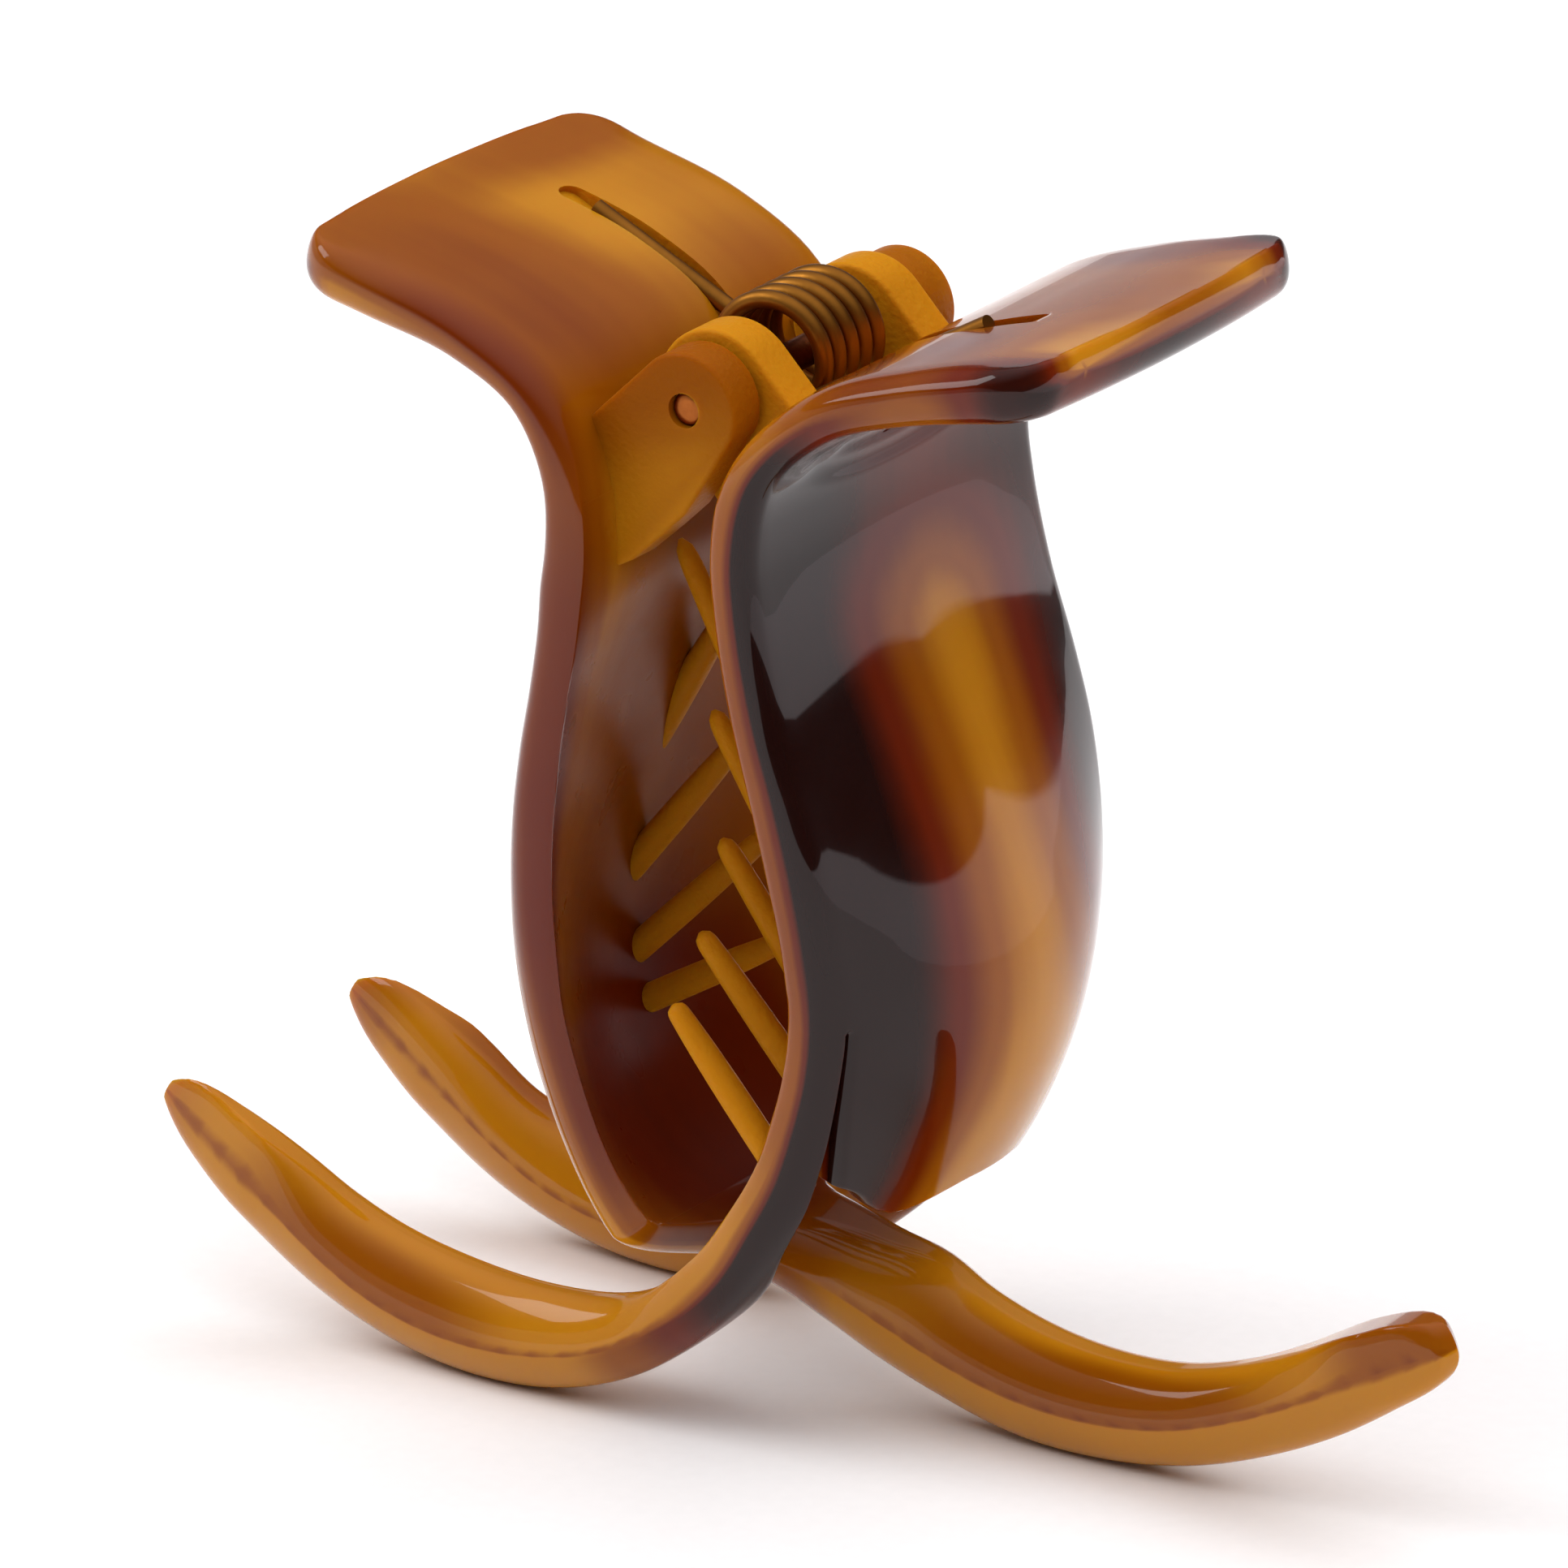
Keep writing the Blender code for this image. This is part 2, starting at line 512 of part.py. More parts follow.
def wire_path():
    """The spring's centre line: the right leg, the coil from front to back, then the left leg."""
    right_touch, right_way, right_turn = leg_line(RIGHT_LEG_TIP, 1)
    left_touch, left_way, left_turn = leg_line(LEFT_LEG_TIP, -1)
    points = [(RIGHT_LEG_TIP[0], RIGHT_LEG_Y, RIGHT_LEG_TIP[1])]
    first = right_turn
    last = left_turn - 2 * pi * (COIL_TURNS + (1 if left_turn < right_turn else 0))
    last += 2 * pi * np.ceil((first - 2 * pi * COIL_TURNS - last - 2 * pi) / (2 * pi))
    count = int(round(abs(first - last) / (2 * pi) * COIL_STEPS))
    for k in range(count + 1):
        share = k / count
        angle = first + (last - first) * share
        y = RIGHT_LEG_Y + (LEFT_LEG_Y - RIGHT_LEG_Y) * share
        points.append((COIL_RADIUS * cos(angle), y, COIL_RADIUS * sin(angle) + COIL_LIFT))
    points.append((LEFT_LEG_TIP[0], LEFT_LEG_Y, LEFT_LEG_TIP[1]))
    return points


def torsion_spring():
    points = wire_path()
    data = bpy.data.curves.new("torsion_spring", "CURVE")
    data.dimensions = "3D"
    data.bevel_depth = WIRE_RADIUS * MM
    data.bevel_resolution = 1
    data.use_fill_caps = True
    line = data.splines.new("POLY")
    line.points.add(len(points) - 1)
    for point, (x, y, z) in zip(line.points, points):
        point.co = (x * MM, y * MM, z * MM, 1)
    obj = bpy.data.objects.new("torsion_spring", data)
    bpy.context.scene.collection.objects.link(obj)
    return obj


def material(name, colour, metallic, roughness):
    made = bpy.data.materials.new(name)
    made.use_nodes = True
    shader = made.node_tree.nodes["Principled BSDF"]
    shader.inputs["Base Color"].default_value = (*colour, 1)
    shader.inputs["Metallic"].default_value = metallic
    shader.inputs["Roughness"].default_value = roughness
    return made


def stand_on_floor(objects):
    """Lifts the clip so that its prongs touch the floor. The world origin is then under its middle."""
    points = np.array([corner for obj in objects if obj.type == "MESH" for corner in obj.bound_box])
    low, high = points.min(0), points.max(0)
    for obj in objects:
        obj.location = (-(low[0] + high[0]) / 2, -(low[1] + high[1]) / 2, -low[2])


def main():
    clear_scene()
    pieces = [left_jaw(), right_jaw(), hinge_pin(), torsion_spring()]
    looks = {
        "left_jaw": ("tortoiseshell_left", (0.30, 0.12, 0.03), 0.0, 0.2),
        "right_jaw": ("tortoiseshell_right", (0.32, 0.13, 0.03), 0.0, 0.2),
        "hinge_pin": ("copper_pin", (0.55, 0.27, 0.14), 1.0, 0.35),
        "torsion_spring": ("bronze_wire", (0.30, 0.22, 0.10), 1.0, 0.35),
    }
    for obj in pieces:
        obj.data.materials.clear()
        obj.data.materials.append(material(*looks[obj.name]))
        if obj.type == "MESH":
            obj.data.shade_smooth()
            obj.data.set_sharp_from_angle(angle=radians(40))
    stand_on_floor(pieces)


if __name__ == "__main__":
    main()
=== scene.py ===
"""A large three-prong hair claw in translucent tortoiseshell plastic, closed and standing on its prongs.

Shapes are drawn in millimetres from the hinge axis, which runs along Y, and are then set on the frame's
axis.
"""

from math import cos, pi, radians, sin

import bmesh
import bpy
import numpy as np
from bpy.props import FloatProperty, FloatVectorProperty, IntProperty, PointerProperty
from mathutils import Matrix, Vector


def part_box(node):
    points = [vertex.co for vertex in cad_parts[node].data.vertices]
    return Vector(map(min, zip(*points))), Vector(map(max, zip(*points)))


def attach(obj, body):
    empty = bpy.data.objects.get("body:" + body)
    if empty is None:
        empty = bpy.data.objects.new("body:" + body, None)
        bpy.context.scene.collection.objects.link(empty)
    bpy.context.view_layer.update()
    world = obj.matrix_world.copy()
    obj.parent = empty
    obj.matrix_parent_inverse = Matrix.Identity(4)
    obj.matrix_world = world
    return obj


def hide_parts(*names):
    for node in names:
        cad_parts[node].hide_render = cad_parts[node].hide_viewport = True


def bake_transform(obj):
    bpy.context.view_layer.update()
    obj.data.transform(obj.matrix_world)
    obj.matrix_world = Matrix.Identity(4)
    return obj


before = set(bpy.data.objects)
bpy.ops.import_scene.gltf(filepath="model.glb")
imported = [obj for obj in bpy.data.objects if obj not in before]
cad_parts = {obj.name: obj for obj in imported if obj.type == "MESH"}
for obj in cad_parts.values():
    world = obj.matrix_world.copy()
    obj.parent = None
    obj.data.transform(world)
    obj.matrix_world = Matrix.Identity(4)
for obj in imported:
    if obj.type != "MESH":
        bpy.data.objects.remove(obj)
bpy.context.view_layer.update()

bl_info = {
    "name": "Tortoiseshell hair claw",
    "version": (1, 0, 0),
    "blender": (4, 5, 0),
    "location": "3D View > Sidebar > Hair claw",
    "description": "Moulds the two jaws, the pegs, the pin and the spring of a hair claw, and lights them",
    "category": "Object",
}

MM = 0.001
HINGE = (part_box("hinge_pin")[0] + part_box("hinge_pin")[1]) / 2

# The mould's parting line seen from the end, in millimetres from the hinge axis. x is measured away from the
# axis on the jaw's own side. The outer and inner depths are the plastic on either side of the parting line.
COLUMNS = ("x", "z", "half_width", "bulge", "outer", "inner", "bevel", "inside_edge")
SHELL_EDGE, SLIT_TOP_Y = 1.5, 14.6
LEFT_JAW = (
    (27.0, 6.2, 16.25, 0.0, 2.2, 1.3, SHELL_EDGE, 0),
    (21.0, 4.8, 16.25, 0.0, 2.1, 1.4, SHELL_EDGE, 0),
    (14.4, 2.8, 16.25, 0.0, 1.7, 1.4, SHELL_EDGE, 0),
    (9.6, -0.2, 16.25, 0.0, 1.5, 1.5, SHELL_EDGE, 0),
    (7.1, -4.7, 16.35, 0.0, 1.6, 1.5, SHELL_EDGE, 0),
    (6.4, -9.65, 16.65, 0.0, 1.9, 1.5, SHELL_EDGE, 0),
    (6.6, -12.2, 16.75, 0.0, 2.0, 1.5, SHELL_EDGE, 0),
    (6.95, -14.6, 16.8, 0.8, 1.7, 1.6, SHELL_EDGE, 0),
    (7.7, -18.9, 16.9, 1.9, 1.4, 1.7, SHELL_EDGE, 0),
    (8.35, -22.95, 17.0, 2.4, 1.4, 1.8, SHELL_EDGE, 0),
    (8.9, -27.1, 16.9, 3.1, 1.4, 1.9, SHELL_EDGE, 0),
    (9.25, -31.65, 16.5, 4.2, 1.4, 1.9, SHELL_EDGE, 0),
    (9.25, -36.2, 16.0, 5.2, 1.4, 1.9, SHELL_EDGE, 0),
    (8.8, -40.55, 15.55, 5.5, 1.4, 1.7, SHELL_EDGE, 0),
    (7.9, -44.85, 15.1, 5.5, 1.4, 1.7, SHELL_EDGE, 0),
    (6.75, -48.6, 14.7, 5.2, 1.4, 1.7, SHELL_EDGE, 0),
    (5.25, -52.3, 14.15, 4.1, 1.5, 1.8, SHELL_EDGE, 0),
    (3.5, -55.1, 13.6, 2.6, 1.8, 1.9, SHELL_EDGE, 0),
    (1.2, -57.2, 13.3, 1.2, 2.4, 2.2, 1.8, 0),
    (-2.0, -58.9, 13.0, 0.3, 3.2, 2.9, 2.6, 0),
    (-5.5, -60.4, 13.0, 0.0, 3.9, 3.5, 3.0, 0),
    (-9.0, -61.8, 13.0, 0.0, 4.1, 4.3, 3.0, 0),
    (-12.5, -63.2, 13.0, 0.0, 3.9, 4.0, 2.9, 0),
    (-18.0, -64.6, 13.0, 0.0, 3.8, 3.7, 2.8, 0),
    (-24.0, -64.9, 13.0, 0.0, 3.5, 3.4, 2.7, 0),
    (-29.0, -64.2, 13.0, 0.0, 3.3, 3.1, 2.6, 0),
    (-34.0, -62.5, 13.0, 0.0, 3.2, 2.9, 2.4, 0),
    (-38.5, -60.3, 13.0, 0.0, 3.1, 2.8, 2.1, 0),
    (-43.0, -57.6, 13.0, 0.0, 2.8, 2.6, 1.7, 0),
    (-46.4, -55.9, 13.0, 0.0, 2.1, 2.2, 1.2, 0),
    (-48.2, -55.2, 13.0, 0.0, 1.2, 1.5, 0.8, 0),
)
RIGHT_JAW = (
    (27.0, 7.1, 16.25, 0.0, 2.2, 1.3, SHELL_EDGE, SLIT_TOP_Y),
    (21.4, 6.0, 16.25, 0.0, 2.1, 1.4, SHELL_EDGE, SLIT_TOP_Y),
    (17.4, 4.9, 16.25, 0.0, 1.9, 1.4, SHELL_EDGE, SLIT_TOP_Y),
    (10.7, 2.0, 16.25, 0.0, 1.6, 1.5, SHELL_EDGE, SLIT_TOP_Y),
    (6.65, -2.5, 16.3, 0.0, 1.4, 1.5, SHELL_EDGE, SLIT_TOP_Y),
    (5.75, -7.9, 16.6, 0.2, 1.4, 1.5, SHELL_EDGE, SLIT_TOP_Y),
    (6.05, -10.85, 16.7, 0.5, 1.4, 1.5, SHELL_EDGE, SLIT_TOP_Y),
    (7.3, -16.95, 16.85, 1.4, 1.4, 1.6, SHELL_EDGE, SLIT_TOP_Y),
    (9.1, -22.75, 16.95, 2.2, 1.4, 1.8, SHELL_EDGE, SLIT_TOP_Y),
    (10.2, -26.85, 16.9, 3.0, 1.4, 1.9, SHELL_EDGE, SLIT_TOP_Y),
    (11.05, -32.15, 16.5, 4.3, 1.4, 1.9, SHELL_EDGE, SLIT_TOP_Y),
    (11.2, -36.6, 16.0, 5.5, 1.4, 1.9, SHELL_EDGE, SLIT_TOP_Y),
    (10.4, -41.25, 15.5, 6.1, 1.4, 1.9, SHELL_EDGE, 14.3),
    (9.2, -44.9, 15.1, 6.1, 1.4, 1.9, SHELL_EDGE, 13.75),
    (7.65, -48.6, 14.65, 5.7, 1.4, 1.9, SHELL_EDGE, 13.1),
    (5.2, -52.65, 14.1, 4.4, 1.5, 1.9, 1.5, 12.0),
    (1.9, -57.2, 13.3, 2.0, 1.8, 2.0, 1.6, 9.4),
    (-2.6, -61.3, 13.1, 0.6, 2.2, 2.3, 2.0, 8.7),
    (-6.0, -63.4, 13.3, 0.0, 2.6, 2.8, 2.4, 8.0),
    (-12.4, -65.2, 13.4, 0.0, 3.1, 3.7, 2.7, 7.4),
    (-18.5, -65.3, 13.4, 0.0, 3.2, 4.1, 2.7, 7.3),
    (-24.6, -63.9, 13.2, 0.0, 3.3, 3.9, 2.6, 7.4),
    (-28.6, -62.0, 12.9, 0.0, 3.5, 3.5, 2.3, 7.7),
    (-32.7, -59.5, 12.4, 0.0, 3.5, 3.3, 1.9, 8.3),
    (-36.8, -57.1, 11.7, 0.0, 3.0, 2.9, 1.3, 9.1),
    (-39.8, -55.5, 11.0, 0.0, 2.1, 2.4, 0.9, 9.8),
    (-41.5, -54.6, 10.45, 0.0, 1.1, 1.5, 0.5, 10.35),
)
END_CORNER, END_BOW, END_BOW_LENGTH = 3.6, 0.7, 7.0
# The left shell's lower corners sweep in to the centre prong between these heights.
SWEEP_TOP_Z, SWEEP_LENGTH = -54.6, 4.6
PRONG_HALF_WIDTHS = ((-58.0, 4.2), (-60.4, 3.7), (-63.2, 3.4))
PRONG_TAPER = (
    (-18.0, 3.3), (-29.0, 3.05), (-38.5, 2.6), (-43.0, 2.25), (-46.4, 1.65), (-47.6, 1.1), (-48.2, 0.0),
)

# The right shell's tongue between two slits: half width along the jaw, and where it ends, by half width.
SLIT_TOP, SLIT_EDGE, SLIT_EDGE_FADE = 58.6, 0.4, (71.0, 84.0)
TONGUE_SIDE = ((58.6, 14.6), (62.0, 14.2), (65.3, 13.55), (67.4, 12.95), (68.8, 12.5), (69.6, 12.2))
TONGUE_END = (
    (0.0, 70.0), (3.0, 70.2), (5.0, 70.9), (6.5, 71.5), (7.8, 71.7), (9.2, 71.2), (10.6, 70.2), (12.2, 69.6),
)
MIDDLE_HALF_WIDTH, MIDDLE_FADE = 9.7, (40.0, 56.0)

# The matt inside of the shells, from and to these places along the jaw.
INTERIOR = (25.0, 76.0)

# A shallow oval dish with a smaller one inside it, under the right handle: middle along the jaw, half width,
# half length, depth. Rows of faces this far apart run over it.
DISHES = ((22.7, 12.0, 3.0, 0.4), (22.8, 7.5, 1.3, 0.3))
DISH_ROW_STEP, DISH_ROWS_EACH_WAY = 0.22, 16

HOLE_RADIUS = 1.1
OUTER_LUG_Y = (9.55, 12.65)
INNER_LUG_Y = (5.9, 9.2)
OUTER_BARREL, OUTER_BARREL_TURN = 3.65, (48, 200)
OUTER_LUG_REST = (
    (-1.75, -4.0), (-0.05, -6.7), (1.7, -8.4), (4.0, -10.5), (6.7, -12.0),
    (6.6, -9.8), (7.1, -4.7), (8.0, -2.7),
)
INNER_BARREL, INNER_BARREL_TURN = 4.2, (45, 200)
INNER_LUG_REST = (
    (-1.9, -4.3), (0.0, -6.7), (1.7, -8.4), (4.0, -10.5), (5.8, -12.0),
    (5.6, -8.0), (6.2, -4.2), (7.4, -1.6),
)
LUG_EDGE = 0.3

# Pegs, on the jaw's own side of the axis: y, tip x, tip z, root x, root z. The right ones stand in pairs,
# the lowest pair rooted on the strips outside the slits.
LEFT_PEGS = (
    (1.0, 5.8, -18.5, 12.1, -29.2),
    (1.0, 4.9, -26.7, 14.0, -38.0),
    (1.0, 2.9, -32.7, 14.0, -43.7),
    (1.0, 1.7, -39.6, 12.4, -46.0),
)
RIGHT_PEGS = (
    (7.0, -4.0, -10.7, 13.6, -42.9),
    (7.0, -1.6, -21.5, 13.2, -44.3),
    (7.0, -1.0, -29.9, 12.0, -47.0),
    (9.5, -0.95, -35.3, 10.6, -48.0),
    (13.4, -0.4, -38.7, 8.0, -48.5),
)

COIL_RADIUS, COIL_LIFT = 3.55, 0.8
LEFT_LEG_Y, LEFT_LEG_TIP, LEFT_SLOT_END = 4.0, (-17.5, 5.3), -20.2
RIGHT_LEG_Y, RIGHT_LEG_TIP, RIGHT_SLOT_END = -3.6, (16.2, 6.0), 20.0
SLOT_HALF_WIDTH, SLOT_DEPTH, SLOT_START, SLOT_SHIFT = 0.95, 0.95, 4.8, 0.3

# Where dark plastic was swirled into the amber, and where shade is painted as darker plastic: middle
# along and across the jaw, half sizes, how dark it is, and the side it shows on (1 the outer side, -1 the
# inner side, 0 both).
PATCH = ("along", "across", "half_length", "half_width", "darkness", "side")
LEFT_DARK = (
    (0.0, -13.0, 3.0, 5.0, 0.75, 1),
    (9.0, -12.0, 14.0, 11.0, 0.4, -1),
    (1.0, 8.0, 5.0, 13.0, 0.25, -1),
    (12.0, 12.0, 14.0, 7.0, 0.1, -1),
    (19.0, 0.0, 6.0, 20.0, 0.15, -1),
    (47.0, -17.5, 42.0, 4.0, 0.55, 0),
    (45.0, 8.0, 26.0, 10.0, 0.85, 1),
    # Painted shade: the inside of the closed shell, darker low down.
    (56.0, 0.0, 34.0, 18.0, 0.36, -1),
    (70.0, 0.0, 13.0, 18.0, 0.5, -1),
    (80.0, 0.0, 6.0, 6.0, 0.45, 1),
    # Painted shade: a thin dark line along the centre prong's parting ridge.
    (106.0, -3.0, 15.0, 1.9, 0.3, -1),
    (129.0, 0.0, 6.0, 6.0, 0.3, -1),
)
RIGHT_DARK = (
    (-1.5, 0.0, 3.0, 22.0, 0.93, 1),
    (0.0, -16.0, 7.0, 4.0, 0.8, 0),
    (0.0, 16.0, 6.0, 4.0, 0.85, 0),
    (11.0, -12.0, 8.0, 8.0, 0.5, -1),
    (8.0, 13.0, 10.0, 4.5, 0.45, -1),
    (9.0, 2.0, 11.0, 11.0, 0.4, -1),
    (50.0, -17.0, 34.0, 3.4, 0.4, 0),
    (25.0, 0.0, 9.0, 26.0, 0.7, 1),
    (40.0, -18.0, 30.0, 15.5, 1.0, 1),
    (60.0, -18.5, 18.0, 12.0, 0.96, 1),
    (36.0, 18.5, 17.0, 13.0, 0.75, 1),
    (52.0, 19.0, 15.0, 15.0, 0.8, 1),
    (76.0, -12.5, 15.0, 6.5, 0.85, 1),
    (76.0, 12.5, 13.0, 6.0, 0.5, 1),
    (130.0, 0.0, 6.0, 16.0, 0.25, 0),
    # Painted shade: thin dark lines along the outer prongs' parting ridges.
    (112.0, -13.5, 14.0, 2.0, 0.3, -1),
    (112.0, 11.0, 14.0, 2.0, 0.3, -1),
)

# The floor is a disc whose edge is nearest beyond the right jaw. The camera looks from the photograph's
# angle. Its frame is this many mm wide at the hinge, and this is its middle, from the hinge.
FLOOR_MIDDLE, FLOOR_RADIUS = (-1.5, -0.9, 0.0), 2.2
CAMERA_AZIMUTH, CAMERA_ELEVATION, CAMERA_DISTANCE = 33, 20.9, 740
FRAME_WIDTH, FRAME_MIDDLE = 96.6, (-0.775, -26.45)


def linear(hex_colour):
    """An sRGB hex colour as linear red, green and blue."""
    parts = [int(hex_colour[k : k + 2], 16) / 255 for k in (1, 3, 5)]
    return [c / 12.92 if c <= 0.04045 else ((c + 0.055) / 1.055) ** 2.4 for c in parts]


def add(tree, kind, links=(), **settings):
    """Adds a node. links gives, for a socket's name or number, a value or the output that feeds it."""
    made = tree.nodes.new(kind)
    for name, value in settings.items():
        setattr(made, name, value)
    for socket, value in dict(links).items():
        if isinstance(value, bpy.types.NodeSocket):
            tree.links.new(value, made.inputs[socket])
        else:
            made.inputs[socket].default_value = value
    return made


class Profile:
    """A jaw's table as smooth curves over s, the distance walked along the parting line from the handle."""

    def __init__(self, rows):
        self.table = np.array(rows, float)
        steps = np.hypot(*np.diff(self.table[:, :2], axis=0).T)
        self.s = np.concatenate([[0.0], np.cumsum(steps)])
        slope = np.diff(self.table, axis=0) / steps[:, None]
        before, after = steps[:-1, None], steps[1:, None]
        middle = (slope[:-1] * after + slope[1:] * before) / (before + after)
        self.slope = np.vstack([slope[:1], middle, slope[-1:]])

    def at(self, s):
        """The columns and the travel direction at each s."""
        s = np.asarray(s, float)
        i = np.clip(np.searchsorted(self.s, s) - 1, 0, len(self.s) - 2)
        h = (self.s[i + 1] - self.s[i])[..., None]
        t = (s - self.s[i])[..., None] / h
        a, b = self.table[i], self.table[i + 1]
        m, n = self.slope[i] * h, self.slope[i + 1] * h
        value = a * (2 * t**3 - 3 * t**2 + 1) + m * (t**3 - 2 * t**2 + t)
        value = value + b * (3 * t**2 - 2 * t**3) + n * (t**3 - t**2)
        rate = a * (6 * t**2 - 6 * t) + m * (3 * t**2 - 4 * t + 1)
        rate = rate + b * (6 * t - 6 * t**2) + n * (3 * t**2 - 2 * t)
        run = np.hypot(rate[..., 0], rate[..., 1])
        return dict(zip(COLUMNS, np.moveaxis(value, -1, 0))), (rate[..., 0] / run, rate[..., 1] / run)

    def s_at_height(self, z):
        """Where the shell, below the neck, first comes down to z."""
        found = np.linspace(0, self.s[-1], 4001)
        heights = np.interp(found, self.s, self.table[:, 1])
        return float(found[np.argmax(heights <= z)])

    def s_at_reach(self, x):
        """Where the parting line first passes x, counted past the bottom of the shell."""
        found = np.linspace(0, self.s[-1], 4001)
        reach = np.interp(found, self.s, self.table[:, 0])
        below = (np.interp(found, self.s, self.table[:, 1]) < -50) & (reach <= x)
        return float(found[np.argmax(below)])


def smooth(start, end, value):
    t = np.clip((value - start) / (end - start), 0, 1)
    return t * t * (3 - 2 * t)


def through(points, value):
    """A smooth curve through a short table of (place, value) points."""
    at, high = np.array(points).T
    steps = np.diff(at)
    slope = np.diff(high) / steps
    middle = (slope[:-1] * steps[1:] + slope[1:] * steps[:-1]) / (steps[:-1] + steps[1:])
    slope = np.concatenate([slope[:1], middle, slope[-1:]])
    value = min(max(value, at[0]), at[-1])
    i = int(np.clip(np.searchsorted(at, value) - 1, 0, len(at) - 2))
    t = (value - at[i]) / steps[i]
    start = high[i] * (2 * t**3 - 3 * t**2 + 1) + slope[i] * steps[i] * (t**3 - 2 * t**2 + t)
    return float(start + high[i + 1] * (3 * t**2 - 2 * t**3) + slope[i + 1] * steps[i] * (t**3 - t**2))


def slit_edge(s, bevel):
    """How wide the rounding is along the slits. It grows to the prong's own."""
    return SLIT_EDGE + (bevel - SLIT_EDGE) * smooth(*SLIT_EDGE_FADE, s)


def edge_distance(outline, s, y):
    """How far each (s, y) is from the nearest edge of the sheet."""
    nearest = np.full(len(s), 1e9)
    for line in outline:
        for a, b in zip(line[:-1], line[1:]):
            run = b - a
            along = np.clip(((s - a[0]) * run[0] + (y - a[1]) * run[1]) / max(run @ run, 1e-12), 0, 1)
            nearest = np.minimum(nearest, np.hypot(a[0] + run[0] * along - s, a[1] + run[1] * along - y))
    return nearest


def sheet_points(profile, side, edges, places, sizes):
    """Points of a curved plate. places holds s, y and the layer, 1 the outer side and -1 the inner."""
    s, y, layer = places.T
    row, (tx, tz) = profile.at(s)
    rim, slit = (edge_distance(lines, s, abs(y)) for lines in edges)
    rim, slit = np.where(rim < 1e-3, 0, rim), np.where(slit < 1e-3, 0, slit)
    cut = slit / slit_edge(s, row["bevel"])
    prong = smooth(1.6, 2.3, row["bevel"])
    handle = smooth(0.5, 6, s) * (1 - smooth(16, 26, s))
    inner_bevel = sizes.rim_corner + (sizes.handle_corner - sizes.rim_corner) * handle
    inner_bevel = inner_bevel * (1 - prong) + row["bevel"] * prong
    outer = np.clip(np.minimum(rim / row["bevel"], cut), 0, 1)
    inner = np.clip(np.minimum(rim / inner_bevel, cut), 0, 1)
    roundness = sizes.rim_square + (sizes.prong_ridge - sizes.rim_square) * prong
    outer_depth = row["outer"] * (1 - (1 - outer) ** 2) ** roundness
    inner_depth = row["inner"] * (1 - (1 - inner) ** 2) ** (0.5 + 0.12 * prong)
    out = row["bulge"] * np.maximum(0, 1 - (y / row["half_width"]) ** 2)
    out += np.where(layer > 0, outer_depth, -inner_depth)
    if side > 0:
        for middle, half_width, half_length, depth in DISHES:
            reach = np.hypot((s - middle) / half_length, y / half_width)
            out -= np.where(layer > 0, depth * (1 - smooth(0.75, 1.08, reach)), 0)
    return np.stack([(row["x"] - tz * out) * side, y, row["z"] + tx * out], 1)


def plate(name, profile, side, edges, panels, sizes):
    """A closed sheet from panels of (s, y) rows, from the middle to the edge, mirrored and in two layers."""
    keys, faces = {}, []
    for rows in panels:
        for mirror in (1, -1):
            for layer in (1, -1):
                for above, below in zip(rows[:-1], rows[1:]):
                    for j in range(len(above) - 1):
                        ring = (above[j], above[j + 1], below[j + 1], below[j])
                        ring = [(round(s, 4), round(y * mirror, 4), layer) for s, y in ring]
                        ring = list(dict.fromkeys(ring))
                        if len(ring) > 2:
                            faces.append([keys.setdefault(key, len(keys)) for key in ring])
    places = np.array(list(keys), float)
    points = sheet_points(profile, side, edges, places, sizes) * MM
    flat_from = sizes.rim_corner * 0.9
    inside = edge_distance(edges[0], places[:, 0], abs(places[:, 1])) > flat_from
    inside &= (places[:, 2] < 0) & (places[:, 0] > INTERIOR[0]) & (places[:, 0] < INTERIOR[1])
    mesh = bmesh.new()
    corners = [mesh.verts.new(p) for p in points]
    for face in faces:
        ring = [corners[k] for k in face]
        if not mesh.faces.get(ring):
            mesh.faces.new(ring).material_index = 3 if inside[face].all() else 0
    bmesh.ops.remove_doubles(mesh, verts=mesh.verts, dist=4e-6)
    bmesh.ops.dissolve_degenerate(mesh, edges=mesh.edges, dist=1e-6)
    bmesh.ops.recalc_face_normals(mesh, faces=mesh.faces)
    return object_of(mesh, name)


def object_of(mesh, name):
    data = bpy.data.meshes.new(name)
    mesh.to_mesh(data)
    mesh.free()
    obj = bpy.data.objects.new(name, data)
    bpy.context.scene.collection.objects.link(obj)
    return obj


def stops_between(start, end, step, extra):
    """Even stops from start to end, with extra ones for the parts that turn quickly."""
    even = np.linspace(start, end, max(1, round((end - start) / step)) + 1)
    clear = [s for s in even if min(abs(s - stop) for stop in extra) > step * 0.3 or s in (start, end)]
    return sorted(clear + list(extra))


def end_corner(s, half_width):
    """The handle's end has rounded corners."""
    if s >= END_CORNER:
        return half_width
    return half_width - END_CORNER + (END_CORNER**2 - (END_CORNER - s) ** 2) ** 0.5


def bowed(row):
    """The handle's end bows outwards in the middle."""
    start, edge = row[0][0], row[-1][1]
    if start > END_BOW_LENGTH:
        return row
    bow = END_BOW * (1 - start / END_BOW_LENGTH) ** 2
    return [(s - bow * (1 - (y / edge) ** 2), y) for s, y in row]


EDGE_STEPS = (0.0, 0.02, 0.07, 0.14, 0.22, 0.32, 0.45, 0.62, 0.8, 1.0)
END_STOPS = [0.03, 0.1, 0.2, 0.34, 0.5, 0.7, 0.95, 1.25, 1.6, 2.0, 2.5, 3.0, 3.6]
TIP_STOPS = (0.02, 0.08, 0.2, 0.4, 0.7, 1.1, 1.7, 2.4)


